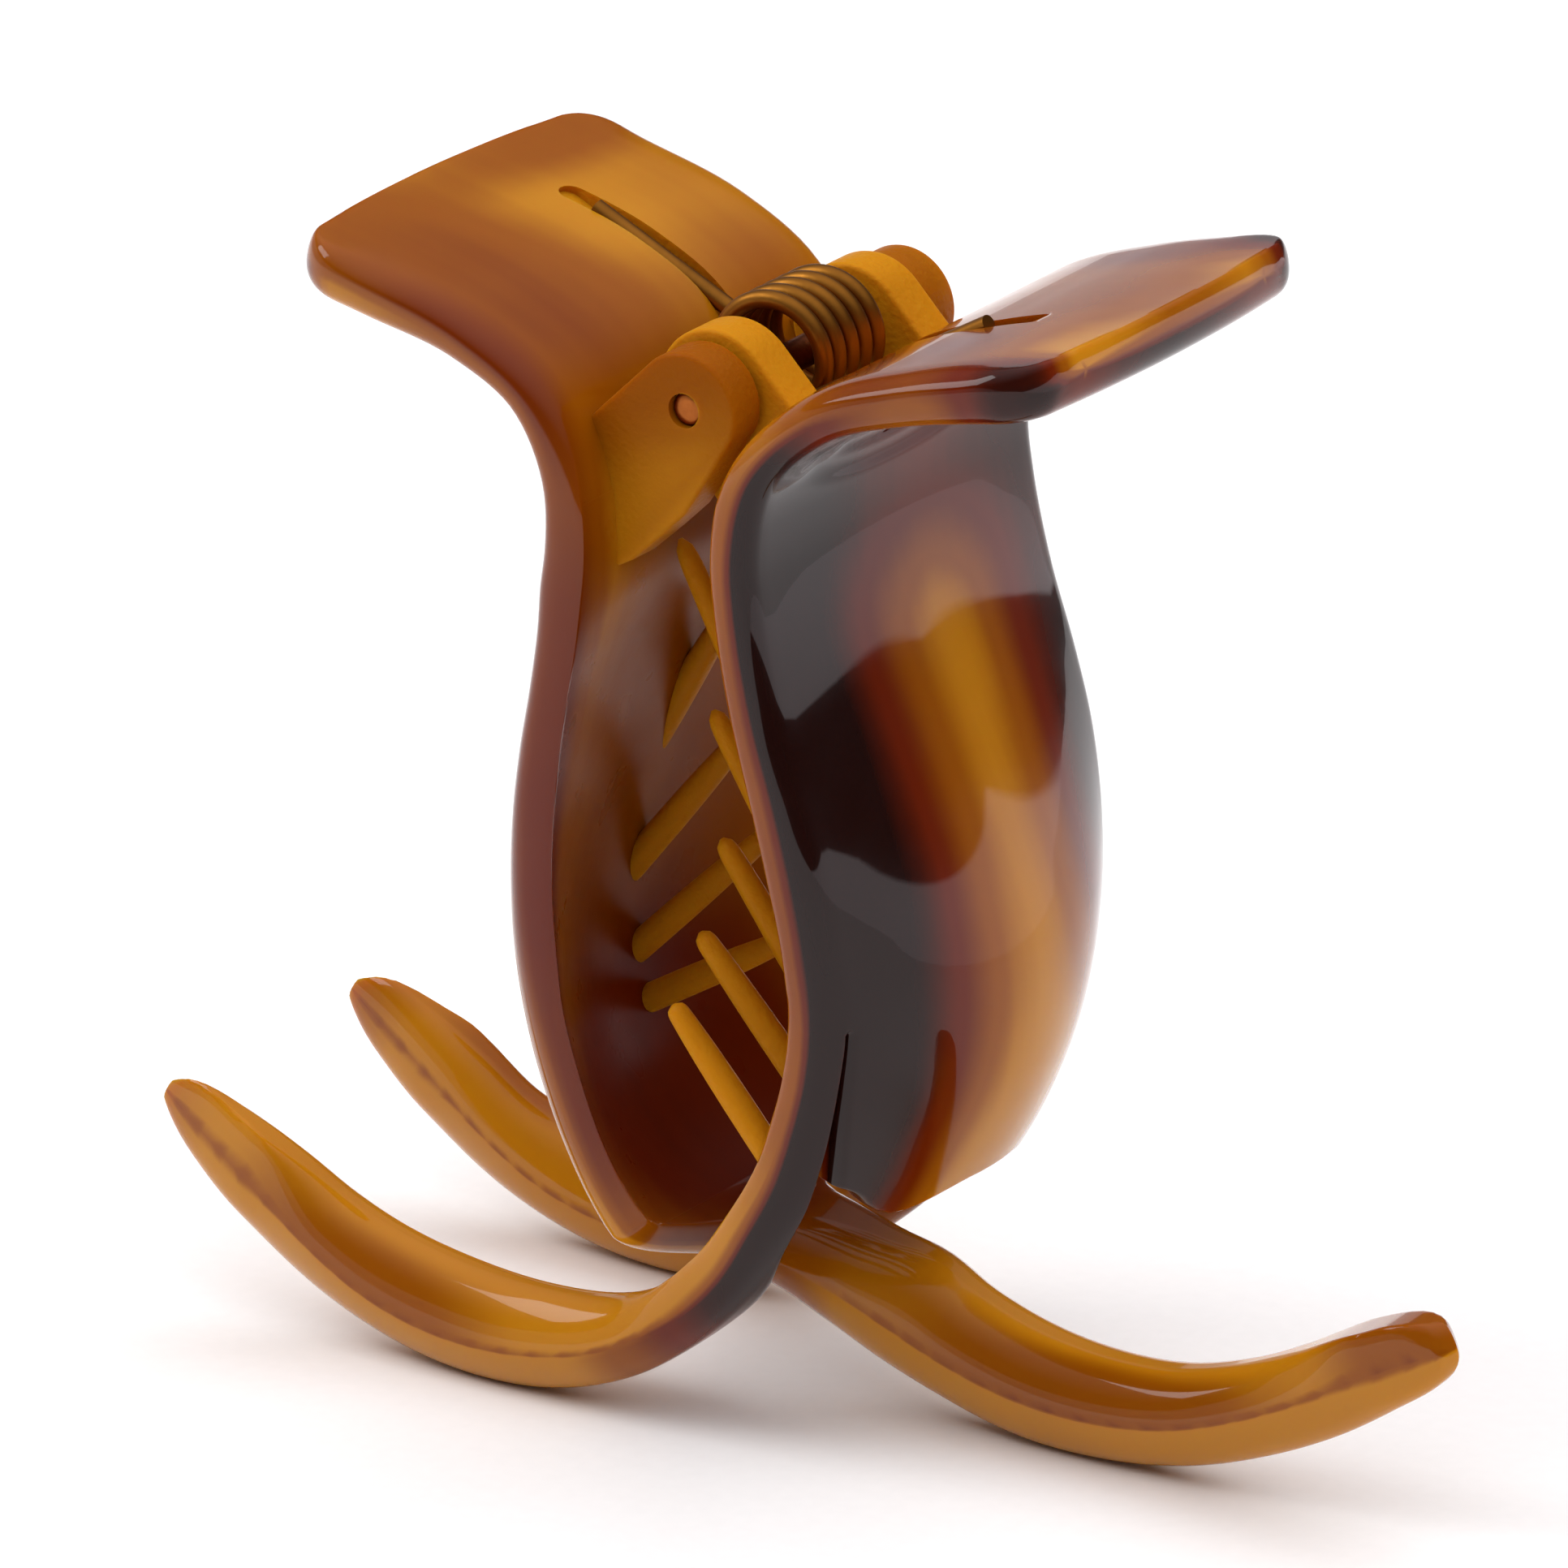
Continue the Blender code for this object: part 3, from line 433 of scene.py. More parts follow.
def left_half_width(profile, s):
    row, _ = profile.at(s)
    top = profile.s_at_height(SWEEP_TOP_Z)
    prong_s = [profile.s_at_height(z) for z, _ in PRONG_HALF_WIDTHS]
    prong_s += [profile.s_at_reach(x) for x, _ in PRONG_TAPER[:-1]] + [profile.s[-1]]
    prong_w = [w for _, w in PRONG_HALF_WIDTHS] + [w for _, w in PRONG_TAPER]
    turn = float(smooth(0, SWEEP_LENGTH, s - top))
    shell_w = end_corner(s, float(row["half_width"]))
    return shell_w * (1 - turn) + float(np.interp(s, prong_s, prong_w)) * turn


def left_shell(sizes):
    profile = Profile(LEFT_JAW)
    total = profile.s[-1]
    sweep = profile.s_at_height(SWEEP_TOP_Z)
    extra = END_STOPS + [sweep + SWEEP_LENGTH * k / 20 for k in range(21)]
    extra += [total - gap for gap in TIP_STOPS]
    rows = []
    for s in stops_between(0.0, total, sizes.row_step, extra):
        w = left_half_width(profile, s)
        bevel = min(float(profile.at(s)[0]["bevel"]), 0.85 * w)
        flat = w - bevel
        across = [flat * k / 12 for k in range(12)] + [w - bevel * step for step in reversed(EDGE_STEPS)]
        rows.append(bowed([(s, y) for y in across]))
    outline = [np.array([row[-1] for row in rows]), np.array(rows[0])]
    return plate("left_jaw_moulding", profile, -1, (outline, []), [rows], sizes)


def right_shell(sizes):
    profile = Profile(RIGHT_JAW)
    total = profile.s[-1]
    top = SLIT_TOP
    extra = END_STOPS + [top + gap for gap in (-1.5, -1.0, -0.6, -0.3, -0.1, 0.0, 0.1, 0.25, 0.45, 0.8, 1.2)]
    extra += [total - gap for gap in TIP_STOPS] 
    rows_each_way = range(-DISH_ROWS_EACH_WAY, DISH_ROWS_EACH_WAY + 1)
    extra += [DISHES[0][0] + k * DISH_ROW_STEP for k in rows_each_way]
    stops = stops_between(0.0, total, sizes.row_step, extra)

    def outside(s):
        return end_corner(s, float(profile.at(s)[0]["half_width"]))

    def inside(s):
        if s > top:
            return min(SLIT_TOP_Y, float(profile.at(s)[0]["inside_edge"]))
        return MIDDLE_HALF_WIDTH + (SLIT_TOP_Y - MIDDLE_HALF_WIDTH) * float(smooth(*MIDDLE_FADE, s))

    def strip(s):
        inner, outer = inside(s), outside(s)
        bevel = float(profile.at(s)[0]["bevel"])
        edge = min(float(slit_edge(s, bevel)), 0.45 * (outer - inner))
        bevel = min(bevel, outer - inner - edge)
        low, high = inner + edge, outer - bevel
        across = [inner + edge * k for k in EDGE_STEPS]
        across += [low + (high - low) * k / 6 for k in range(1, 6)]
        return [(s, y) for y in across + [outer - bevel * k for k in reversed(EDGE_STEPS)]]

    shares = [0.0, 0.1, 0.2, 0.3, 0.4, 0.48, 0.56, 0.64, 0.72, 0.79, 0.85, 0.9, 0.935, 0.96, 0.972, 0.98]
    shares += [0.987, 0.993, 0.998, 1.0]
    levels = [k / 24 * 0.94 for k in range(25)] + [0.955, 0.965, 0.972, 0.979, 0.985, 0.991, 0.996, 1.0]
    tongue = []
    for level in levels:
        along = [top + (through(TONGUE_END, TONGUE_SIDE[-1][1] * k) - top) * level for k in shares]
        tongue.append([(s, through(TONGUE_SIDE, s) * k) for s, k in zip(along, shares)])
    strips = [strip(s) for s in stops]
    middle = [[(s, inside(s) * k) for k in shares] for s in stops if s <= top]
    joined = [bowed(near + far[1:]) for near, far in zip(middle, strips)]
    strips = [row[len(shares) - 1 :] for row in joined] + strips[len(middle) :]
    middle = [row[: len(shares)] for row in joined]
    outline = [
        np.array([row[-1] for row in strips]),
        np.array(middle[0] + strips[0]),
        np.array([strips[-1][0], strips[-1][-1]]),
    ]
    slits = [
        np.array([row[0] for row in strips if row[0][0] >= top - 1e-6]),
        np.array([row[-1] for row in tongue]),
        np.array(tongue[-1]),
    ]
    return plate("right_jaw_moulding", profile, 1, (outline, slits), [strips, middle, tongue], sizes)


def prism(name, points, y_low, y_high, edge=0.0, slot_number=0):
    """A flat shape in X and Z, drawn out along Y, with its two outlines rounded."""
    mesh = bmesh.new()
    face = mesh.faces.new([mesh.verts.new((x * MM, y_low * MM, z * MM)) for x, z in points])
    moved = bmesh.ops.extrude_face_region(mesh, geom=[face])["geom"]
    corners = [v for v in moved if isinstance(v, bmesh.types.BMVert)]
    bmesh.ops.translate(mesh, verts=corners, vec=(0, (y_high - y_low) * MM, 0))
    bmesh.ops.recalc_face_normals(mesh, faces=mesh.faces)
    if edge:
        rims = [e for e in mesh.edges if abs(e.verts[0].co.y - e.verts[1].co.y) < 1e-7]
        bmesh.ops.bevel(mesh, geom=rims, offset=edge * MM, segments=3, profile=0.5, affect="EDGES")
    for made in mesh.faces:
        made.material_index = slot_number
    return object_of(mesh, name)


def lug(side, barrel, turn, rest, y_low, y_high):
    angles = np.radians(np.linspace(*turn, 40))
    points = [(barrel * cos(a), barrel * sin(a)) for a in angles] + list(rest)
    return prism("lug", [(x * side, z) for x, z in points], y_low, y_high, LUG_EDGE, 1)


def rod(name, start, end, radii, sides):
    """A round rod from start to end whose radius follows radii, a list of (share of the length, radius)."""
    start, end = Vector(start), Vector(end)
    axis = end - start
    turn = axis.to_track_quat("Z", "Y").to_matrix()
    mesh = bmesh.new()
    rings = []
    for share, radius in radii:
        middle = start + axis * share
        angles = np.arange(sides) * 2 * pi / sides
        ring = [middle + turn @ Vector((radius * cos(a), radius * sin(a), 0)) for a in angles]
        rings.append([mesh.verts.new(p * MM) for p in ring])
    for a, b in zip(rings[:-1], rings[1:]):
        for k in range(sides):
            mesh.faces.new((a[k], a[(k + 1) % sides], b[(k + 1) % sides], b[k]))
    mesh.faces.new(rings[0][::-1])
    mesh.faces.new(rings[-1])
    bmesh.ops.recalc_face_normals(mesh, faces=mesh.faces)
    return object_of(mesh, name)


def leg_line(tip, side):
    """The coil's tangent point, and the direction, of the straight leg that ends at tip."""
    to_tip = Vector((tip[0], tip[1] - COIL_LIFT))
    angle = np.arccos(COIL_RADIUS / to_tip.length)
    turn = np.arctan2(to_tip.y, to_tip.x) + angle * (1 if side < 0 else -1)
    touch = Vector((COIL_RADIUS * cos(turn), COIL_RADIUS * sin(turn) + COIL_LIFT))
    return touch, (Vector(tip) - touch).normalized(), turn


def slot(side, tip, end_x, y):
    """The cutter for a slot with a round outer end, its floor parallel to the wire."""
    touch, way, _ = leg_line(tip, side)
    start = touch + way * ((SLOT_START - abs(touch.x)) / abs(way.x))
    stop = touch + way * ((abs(end_x) - SLOT_HALF_WIDTH - abs(touch.x)) / abs(way.x))
    up = Vector((-way.y, way.x)) * (1 if way.x > 0 else -1)
    outline = [(start, -SLOT_HALF_WIDTH)]
    for a in np.linspace(-pi / 2, pi / 2, 25):
        outline.append((stop + way * (SLOT_HALF_WIDTH * cos(a)), SLOT_HALF_WIDTH * sin(a)))
    outline.append((start, SLOT_HALF_WIDTH))
    mesh = bmesh.new()
    rings = []
    for height in (-SLOT_DEPTH, 6.0):
        points = [(p + up * height, dy) for p, dy in outline]
        rings.append([mesh.verts.new((p.x * MM, (y + dy) * MM, p.y * MM)) for p, dy in points])
    count = len(outline)
    for k in range(count):
        mesh.faces.new((rings[0][k], rings[0][(k + 1) % count], rings[1][(k + 1) % count], rings[1][k]))
    mesh.faces.new(rings[0])
    mesh.faces.new(rings[1])
    bmesh.ops.recalc_face_normals(mesh, faces=mesh.faces)
    for face in mesh.faces:
        face.material_index = 2
    return object_of(mesh, "slot")


def pin_hole():
    reach = OUTER_LUG_Y[1] + 1
    return rod("hole", (0, -reach, 0), (0, reach, 0), ((0, HOLE_RADIUS), (1, HOLE_RADIUS)), 48)


def combine(obj, others, operation):
    """Joins or cuts with EXACT Booleans, and keeps the result as the object's own mesh."""
    for other in others:
        step = obj.modifiers.new(operation, "BOOLEAN")
        step.operation = operation
        step.solver = "EXACT"
        step.object = other
    made = bpy.data.meshes.new_from_object(obj.evaluated_get(bpy.context.evaluated_depsgraph_get()))
    obj.modifiers.clear()
    obj.data = made
    for other in others:
        bpy.data.objects.remove(other)


def swirls_and_shade(obj, profile, side, patches):
    """Lays the UV map "moulding" along and across the jaw, and stores how dark each point is: the swirled
    dark plastic, and painted shade along the prongs' parting ridges and inside the left shell.
    """
    mesh = obj.data
    points = np.empty(len(mesh.vertices) * 3)
    mesh.vertices.foreach_get("co", points)
    points = points.reshape(-1, 3) / MM
    walk = np.arange(0, profile.s[-1], 0.15)
    row, (tx, tz) = profile.at(walk)
    nearest = np.empty(len(points), int)
    for part in np.array_split(np.arange(len(points)), len(points) // 4000 + 1):
        x, z = points[part, 0] * side, points[part, 2]
        nearest[part] = np.argmin((x[:, None] - row["x"]) ** 2 + (z[:, None] - row["z"]) ** 2, axis=1)
    along, across = walk[nearest], points[:, 1]
    gap_x, gap_z = points[:, 0] * side - row["x"][nearest], points[:, 2] - row["z"][nearest]
    out = -tz[nearest] * gap_x + tx[nearest] * gap_z
    out -= row["bulge"][nearest] * np.maximum(0, 1 - (across / row["half_width"][nearest]) ** 2)
    outer = smooth(-0.2, 0.3, out)
    clear = np.ones(len(points))
    for values in patches:
        patch = dict(zip(PATCH, values))
        reach_along = (along - patch["along"]) / patch["half_length"]
        reach = np.hypot(reach_along, (across - patch["across"]) / patch["half_width"])
        shows = {1: outer, -1: 1 - outer, 0: 1.0}[patch["side"]]
        clear *= 1 - patch["darkness"] * (1 - smooth(0.3, 1.4, reach)) * shows
    gap = np.hypot(gap_x, gap_z)
    # Painted shade: a thin darker line right on the prongs' parting ridge, where the crease shows.
    clear *= 1 - 0.3 * (1 - smooth(0.0, 0.12, gap)) * smooth(84, 90, along)
    dark = mesh.attributes.new("dark", "FLOAT", "POINT")
    dark.data.foreach_set("value", (1 - clear).astype(np.float32))
    corner = np.empty(len(mesh.loops), np.int32)
    mesh.loops.foreach_get("vertex_index", corner)
    flat = np.stack([along[corner], across[corner]], 1) / 100
    mesh.uv_layers.new(name="moulding").data.foreach_set("uv", flat.astype(np.float32).ravel())


def finish_piece(obj, body, node, materials, angle=35):
    """Sets a piece on the hinge, smooths its curved faces and gives it its materials and its body."""
    obj.data.transform(Matrix.Translation(HINGE))
    for number, made in enumerate(materials):
        if number < len(obj.data.materials):
            obj.data.materials[number] = made
        else:
            obj.data.materials.append(made)
    obj.data.shade_smooth()
    obj.data.set_sharp_from_angle(angle=radians(angle))
    if body:
        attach(obj, body)
    if node:
        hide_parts(node)
    return obj


def new_material(name):
    made = bpy.data.materials.new(name)
    made.use_nodes = True
    return made, made.node_tree, made.node_tree.nodes["Principled BSDF"]


def tortoiseshell(name, colours, finish):
    """Injection-moulded acrylic with dark plastic swirled into amber. Light goes a few millimetres into it,
    so the amber glows. finish is how the mould's steel was worked: polished leaves a wet gloss, etched a
    satin grain, and stoned, inside the shells, a soft sheen."""
    made, tree, shader = new_material(name)
    place = add(tree, "ShaderNodeTexCoord").outputs["Object"]
    flat = add(tree, "ShaderNodeUVMap", uv_map="moulding").outputs[0]
    # The dark attribute holds the swirled dark plastic and also painted shade: lines on the prongs' parting
    # ridges and the low inside of the left shell.
    dark = add(tree, "ShaderNodeAttribute", attribute_name="dark").outputs["Fac"]
    # Cloudy edges about 12 mm across, and faint flow lines 2 mm wide that follow the jaw.
    cloud = {"Vector": place, "Scale": 1 / 0.012, "Detail": 1.0, "Roughness": 0.4}
    cloud = add(tree, "ShaderNodeTexNoise", cloud)
    drawn = add(tree, "ShaderNodeMapping", {"Vector": flat, "Scale": (5.0, 50.0, 1.0)})
    streak = add(tree, "ShaderNodeTexNoise", {"Vector": drawn.outputs[0], "Scale": 1.0, "Detail": 1.0})
    cloudy = add(tree, "ShaderNodeMath", {0: cloud.outputs["Fac"], 1: 0.5}, operation="SUBTRACT")
    streaky = add(tree, "ShaderNodeMath", {0: streak.outputs["Fac"], 1: 0.5}, operation="SUBTRACT")
    shift = dark
    for wobble, amount in ((cloudy, 0.16), (streaky, 0.06)):
        links = {0: wobble.outputs[0], 1: amount, 2: shift}
        shift = add(tree, "ShaderNodeMath", links, operation="MULTIPLY_ADD").outputs[0]
    ramp = add(tree, "ShaderNodeValToRGB", {0: shift})
    ramp.color_ramp.interpolation = "EASE"
    tints = (colours.honey, colours.amber, colours.red_brown, colours.dark_brown)
    places = (0.0, 0.28, 0.62, 0.9)
    for _ in range(2):
        ramp.color_ramp.elements.new(0.5)
    for stop, at, tint in zip(ramp.color_ramp.elements, places, tints):
        stop.position = at
        stop.color = (*tint, 1)
    tree.links.new(ramp.outputs[0], shader.inputs["Base Color"])
    # Handling leaves faint dull patches 4 mm across.
    haze = add(tree, "ShaderNodeTexNoise", {"Vector": place, "Scale": 1 / 0.004, "Detail": 4.0})
    low, high = {"polished": (0.1, 0.2), "etched": (0.36, 0.5), "stoned": (0.26, 0.36)}[finish]
    dull = add(tree, "ShaderNodeMapRange", {0: haze.outputs["Fac"], 1: 0.3, 2: 0.7, 3: low, 4: high})
    tree.links.new(dull.outputs[0], shader.inputs["Roughness"])
    # The etched grain is about 0.4 mm, the polished ripple 1.5 mm and the stoning 0.6 mm.
    size, height = {"polished": (0.0015, 3e-6), "etched": (0.0004, 8e-5), "stoned": (0.0006, 8e-6)}[finish]
    grain = add(tree, "ShaderNodeTexNoise", {"Vector": place, "Scale": 1 / size, "Detail": 2.0})
    bump = add(tree, "ShaderNodeBump", {"Height": grain.outputs["Fac"], "Distance": height, "Strength": 1.0})
    tree.links.new(bump.outputs[0], shader.inputs["Normal"])
    shader.inputs["IOR"].default_value = 1.49
    shader.inputs["Subsurface Weight"].default_value = 0.3
    shader.inputs["Subsurface Radius"].default_value = (1.0, 0.4, 0.1)
    shader.inputs["Subsurface Scale"].default_value = 0.0025
    # The polished skin is glassy and mirrors the pale cards with a sharp edge.
    if finish == "polished":
        shader.inputs["Specular IOR Level"].default_value = 0.06
        shader.inputs["Coat Weight"].default_value = 0.55
        shader.inputs["Coat IOR"].default_value = 1.49
        shader.inputs["Coat Roughness"].default_value = 0.02
    else:
        shader.inputs["Specular IOR Level"].default_value = 0.05
    return made


def drawn_metal(name, tint, worn_tint, roughness, grain_mm):
    """Drawn wire or rod with a coloured plating, finely scratched, and a second tint where rubbed."""
    made, tree, shader = new_material(name)
    place = add(tree, "ShaderNodeTexCoord").outputs["Object"]
    worn = add(tree, "ShaderNodeTexNoise", {"Vector": place, "Scale": 1000 / (grain_mm * 4), "Detail": 5.0})
    tints = {0: worn.outputs["Fac"], 6: (*tint, 1), 7: (*worn_tint, 1)}
    mix = add(tree, "ShaderNodeMix", tints, data_type="RGBA")
    tree.links.new(mix.outputs[2], shader.inputs["Base Color"])
    grain = add(tree, "ShaderNodeTexNoise", {"Vector": place, "Scale": 1000 / grain_mm, "Detail": 3.0})
    dull = add(tree, "ShaderNodeMapRange", {0: grain.outputs["Fac"], 3: roughness * 0.7, 4: roughness * 1.4})
    tree.links.new(dull.outputs[0], shader.inputs["Roughness"])
    bump = add(tree, "ShaderNodeBump", {"Height": grain.outputs["Fac"], "Distance": 2e-5, "Strength": 1.0})
    tree.links.new(bump.outputs[0], shader.inputs["Normal"])
    shader.inputs["Metallic"].default_value = 1.0
    return made


def jaw_materials(colours):
    """The jaws' materials by slot: the outside, the lugs, the spring's slot, the inside of the shell."""
    made = {}
    for finish in ("polished", "etched", "stoned"):
        name = finish + "_tortoiseshell_acrylic"
        made[finish] = bpy.data.materials.get(name) or tortoiseshell(name, colours, finish)
    return [made["polished"], made["etched"], made["etched"], made["stoned"]]


def line_object(name, lines):
    """An object of bare edges, one chain for each list of points."""
    points, edges = [], []
    for line in lines:
        first = len(points)
        points += [Vector(p) * MM for p in line]
        edges += [(first + k, first + k + 1) for k in range(len(line) - 1)]
    data = bpy.data.meshes.new(name)
    data.from_pydata(points, edges, [])
    obj = bpy.data.objects.new(name, data)
    bpy.context.scene.collection.objects.link(obj)
    return obj


def sweep_tree(name, shape):
    """A tree that sweeps a round section along each chain of edges. shape gives the radius along the way as
    (share of the length, share of Radius)."""
    tree = bpy.data.node_groups.new(name, "GeometryNodeTree")
    face = tree.interface
    face.new_socket("Line", in_out="INPUT", socket_type="NodeSocketGeometry")
    for label, kind in (("Radius", "Float"), ("Sides", "Int"), ("Rings", "Int"), ("Material", "Material")):
        face.new_socket(label, in_out="INPUT", socket_type="NodeSocket" + kind)
    face.new_socket("Mesh", in_out="OUTPUT", socket_type="NodeSocketGeometry")
    start = add(tree, "NodeGroupInput").outputs
    curve = add(tree, "GeometryNodeMeshToCurve", {"Mesh": start["Line"]}).outputs[0]
    if shape:
        curve = add(tree, "GeometryNodeResampleCurve", {"Curve": curve, "Count": start["Rings"]}).outputs[0]
    share = add(tree, "GeometryNodeSplineParameter").outputs["Factor"]
    thick = add(tree, "ShaderNodeFloatCurve", {"Value": share})
    points = thick.mapping.curves[0].points
    shape = shape or ((0.0, 1.0), (1.0, 1.0))
    for k, (at, value) in enumerate(shape):
        point = points[0] if k == 0 else points[1] if k == len(shape) - 1 else None
        if point is None:
            points.new(at, value)
        else:
            point.location = (at, value)
    thick.mapping.update()
    curve = {"Curve": curve, "Radius": thick.outputs[0]}
    curve = add(tree, "GeometryNodeSetCurveRadius", curve).outputs[0]
    ring = {"Resolution": start["Sides"], "Radius": start["Radius"]}
    ring = add(tree, "GeometryNodeCurvePrimitiveCircle", ring).outputs[0]
    section = {"Curve": curve, "Profile Curve": ring, "Fill Caps": True}
    section = add(tree, "GeometryNodeCurveToMesh", section)
    if "Scale" in section.inputs:
        radius = add(tree, "GeometryNodeInputRadius")
        tree.links.new(radius.outputs[0], section.inputs["Scale"])
    real = add(tree, "GeometryNodeRealizeInstances", {"Geometry": section.outputs[0]})
    dressed = {"Geometry": real.outputs[0], "Material": start["Material"]}
    dressed = add(tree, "GeometryNodeSetMaterial", dressed)
    add(tree, "NodeGroupOutput", {"Mesh": dressed.outputs[0]})
    return tree


def swept(name, lines, tree, values):
    """Runs the tree over the lines and keeps the result as a plain mesh."""
    guide = line_object(name + "_line", lines)
    step = guide.modifiers.new("sweep", "NODES")
    step.node_group = tree
    for item in tree.interface.items_tree:
        if item.in_out == "INPUT" and item.name in values:
            step[item.identifier] = values[item.name]
    made = bpy.data.meshes.new_from_object(guide.evaluated_get(bpy.context.evaluated_depsgraph_get()))
    bpy.data.objects.remove(guide)
    mesh = bmesh.new()
    mesh.from_mesh(made)
    bmesh.ops.remove_doubles(mesh, verts=mesh.verts, dist=1e-7)
    bmesh.ops.recalc_face_normals(mesh, faces=mesh.faces)
    return object_of(mesh, name)


def wire_path(turns, steps):
    """The spring's centre line: the right leg, the coil from front to back, then the left leg."""
    _, _, first = leg_line(RIGHT_LEG_TIP, 1)
    _, _, left_turn = leg_line(LEFT_LEG_TIP, -1)
    last = left_turn - 2 * pi * (turns + (1 if left_turn < first else 0))
    last += 2 * pi * np.ceil((first - 2 * pi * turns - last - 2 * pi) / (2 * pi))
    count = int(round(abs(first - last) / (2 * pi) * steps))
    points = [(RIGHT_LEG_TIP[0], RIGHT_LEG_Y, RIGHT_LEG_TIP[1])]
    for k in range(count + 1):
        angle = first + (last - first) * k / count
        y = RIGHT_LEG_Y + (LEFT_LEG_Y - RIGHT_LEG_Y) * k / count
        points.append((COIL_RADIUS * cos(angle), y, COIL_RADIUS * sin(angle) + COIL_LIFT))
    points.append((LEFT_LEG_TIP[0], LEFT_LEG_Y, LEFT_LEG_TIP[1]))
    return points


class ClawSizes(bpy.types.PropertyGroup):
    row_step: FloatProperty(
        name="Row step", description="Distance between rows of faces, mm", default=0.8, min=0.3
    )
    rim_corner: FloatProperty(
        name="Rim corner", description="Rounding inside the shell's rim, mm", default=0.4
    )
    handle_corner: FloatProperty(
        name="Handle corner", description="Rounding on top of the handle, mm", default=2.2
    )
    rim_square: FloatProperty(
        name="Rim squareness", description="0.5 is a round rim, less is flatter", default=0.4
    )
    prong_ridge: FloatProperty(
        name="Prong ridge", description="1 is a sharp parting ridge, 0.5 a round one", default=0.85
    )
    peg_radius: FloatProperty(
        name="Peg radius", description="At the root", default=0.00095, unit="LENGTH"
    )
    pin_radius: FloatProperty(
        name="Pin radius", description="Of the hinge pin", default=0.00102, unit="LENGTH"
    )
    pin_half_length: FloatProperty(
        name="Pin half length", description="Of the hinge pin", default=0.0123, unit="LENGTH"
    )
    wire_radius: FloatProperty(
        name="Wire radius", description="Of the spring's wire", default=0.0006, unit="LENGTH"
    )
    coil_turns: IntProperty(name="Coil turns", description="Turns of the spring", default=5, min=2)


def colour(name, description, default):
    """A colour property whose default is an sRGB hex colour."""
    return FloatVectorProperty(
        name=name, description=description, subtype="COLOR", size=3, default=linear(default)
    )


class ClawColours(bpy.types.PropertyGroup):
    honey: colour("Honey", "Clearest plastic", "#BC7B10")
    # The amber and the two browns also give the painted shade its colour.
    amber: colour("Amber", "Main plastic", "#8F4C03")
    red_brown: colour("Red brown", "Edge of a dark swirl", "#641C02")
    dark_brown: colour("Dark brown", "Middle of a dark swirl", "#1E0805")
    copper: colour("Copper", "Pin", "#B5682F")
    bronze: colour("Bronze", "Spring", "#B87A2C")


def finish_jaw(context, body, side, lug_shape, lug_y, leg, table, patches):
    """Adds the lugs to a shell, cuts its slot and its pin hole, and finishes it."""
    materials = jaw_materials(context.scene.claw_colours)
    for _ in materials:
        body.data.materials.append(None)
    spans = (lug_y, (-lug_y[1], -lug_y[0]))
    combine(body, [lug(side, *lug_shape, *span) for span in spans], "UNION")
    combine(body, [slot(side, *leg), pin_hole()], "DIFFERENCE")
    swirls_and_shade(body, Profile(table), side, patches)
    name = "right" if side > 0 else "left"
    finish_piece(body, name + "_side", name + "_jaw", materials)


class CLAW_OT_left_jaw(bpy.types.Operator):
    """Moulds the left jaw: handle, shell, outer lugs and centre prong"""

    bl_idname = "claw.left_jaw"
    bl_label = "Left jaw"

    def execute(self, context):
        body = left_shell(context.scene.claw_sizes)
        lugs = (OUTER_BARREL, OUTER_BARREL_TURN, OUTER_LUG_REST)
        leg = (LEFT_LEG_TIP, LEFT_SLOT_END, LEFT_LEG_Y + SLOT_SHIFT)
        finish_jaw(context, body, -1, lugs, OUTER_LUG_Y, leg, LEFT_JAW, LEFT_DARK)
        return {"FINISHED"}


class CLAW_OT_right_jaw(bpy.types.Operator):
    """Moulds the right jaw: handle, shell with its tongue, inner lugs and outer prongs"""

    bl_idname = "claw.right_jaw"
    bl_label = "Right jaw"

    def execute(self, context):
        body = right_shell(context.scene.claw_sizes)
        lugs = (INNER_BARREL, INNER_BARREL_TURN, INNER_LUG_REST)
        leg = (RIGHT_LEG_TIP, RIGHT_SLOT_END, RIGHT_LEG_Y)
        finish_jaw(context, body, 1, lugs, INNER_LUG_Y, leg, RIGHT_JAW, RIGHT_DARK)
        return {"FINISHED"}


class CLAW_OT_pegs(bpy.types.Operator):
    """Grows the slanting pegs inside both shells"""

    bl_idname = "claw.pegs"
    bl_label = "Pegs"

    def execute(self, context):
        sizes = context.scene.claw_sizes
        etched = jaw_materials(context.scene.claw_colours)[1]
        shape = ((0.0, 1.0), (0.5, 0.86), (0.94, 0.74), (0.97, 0.66), (0.99, 0.45), (1.0, 0.15))
        tree = sweep_tree("tapered peg", shape)
        values = {"Radius": sizes.peg_radius, "Sides": 20, "Rings": 60, "Material": etched}
        rows = (
            ("left", -1, LEFT_PEGS, (1,), LEFT_JAW),
            ("right", 1, RIGHT_PEGS, (-1, 1), RIGHT_JAW),
        )
        for name, side, pegs, mirrors, table in rows:
            lines = []
            for y, tip_x, tip_z, root_x, root_z in pegs:
                for m in mirrors:
                    lines.append(((root_x * side, y * m, root_z), (tip_x * side, y * m, tip_z)))
            obj = swept(name + "_pegs", lines, tree, values)
            swirls_and_shade(obj, Profile(table), side, ())
            finish_piece(obj, name + "_side", None, [etched], 60)
        return {"FINISHED"}


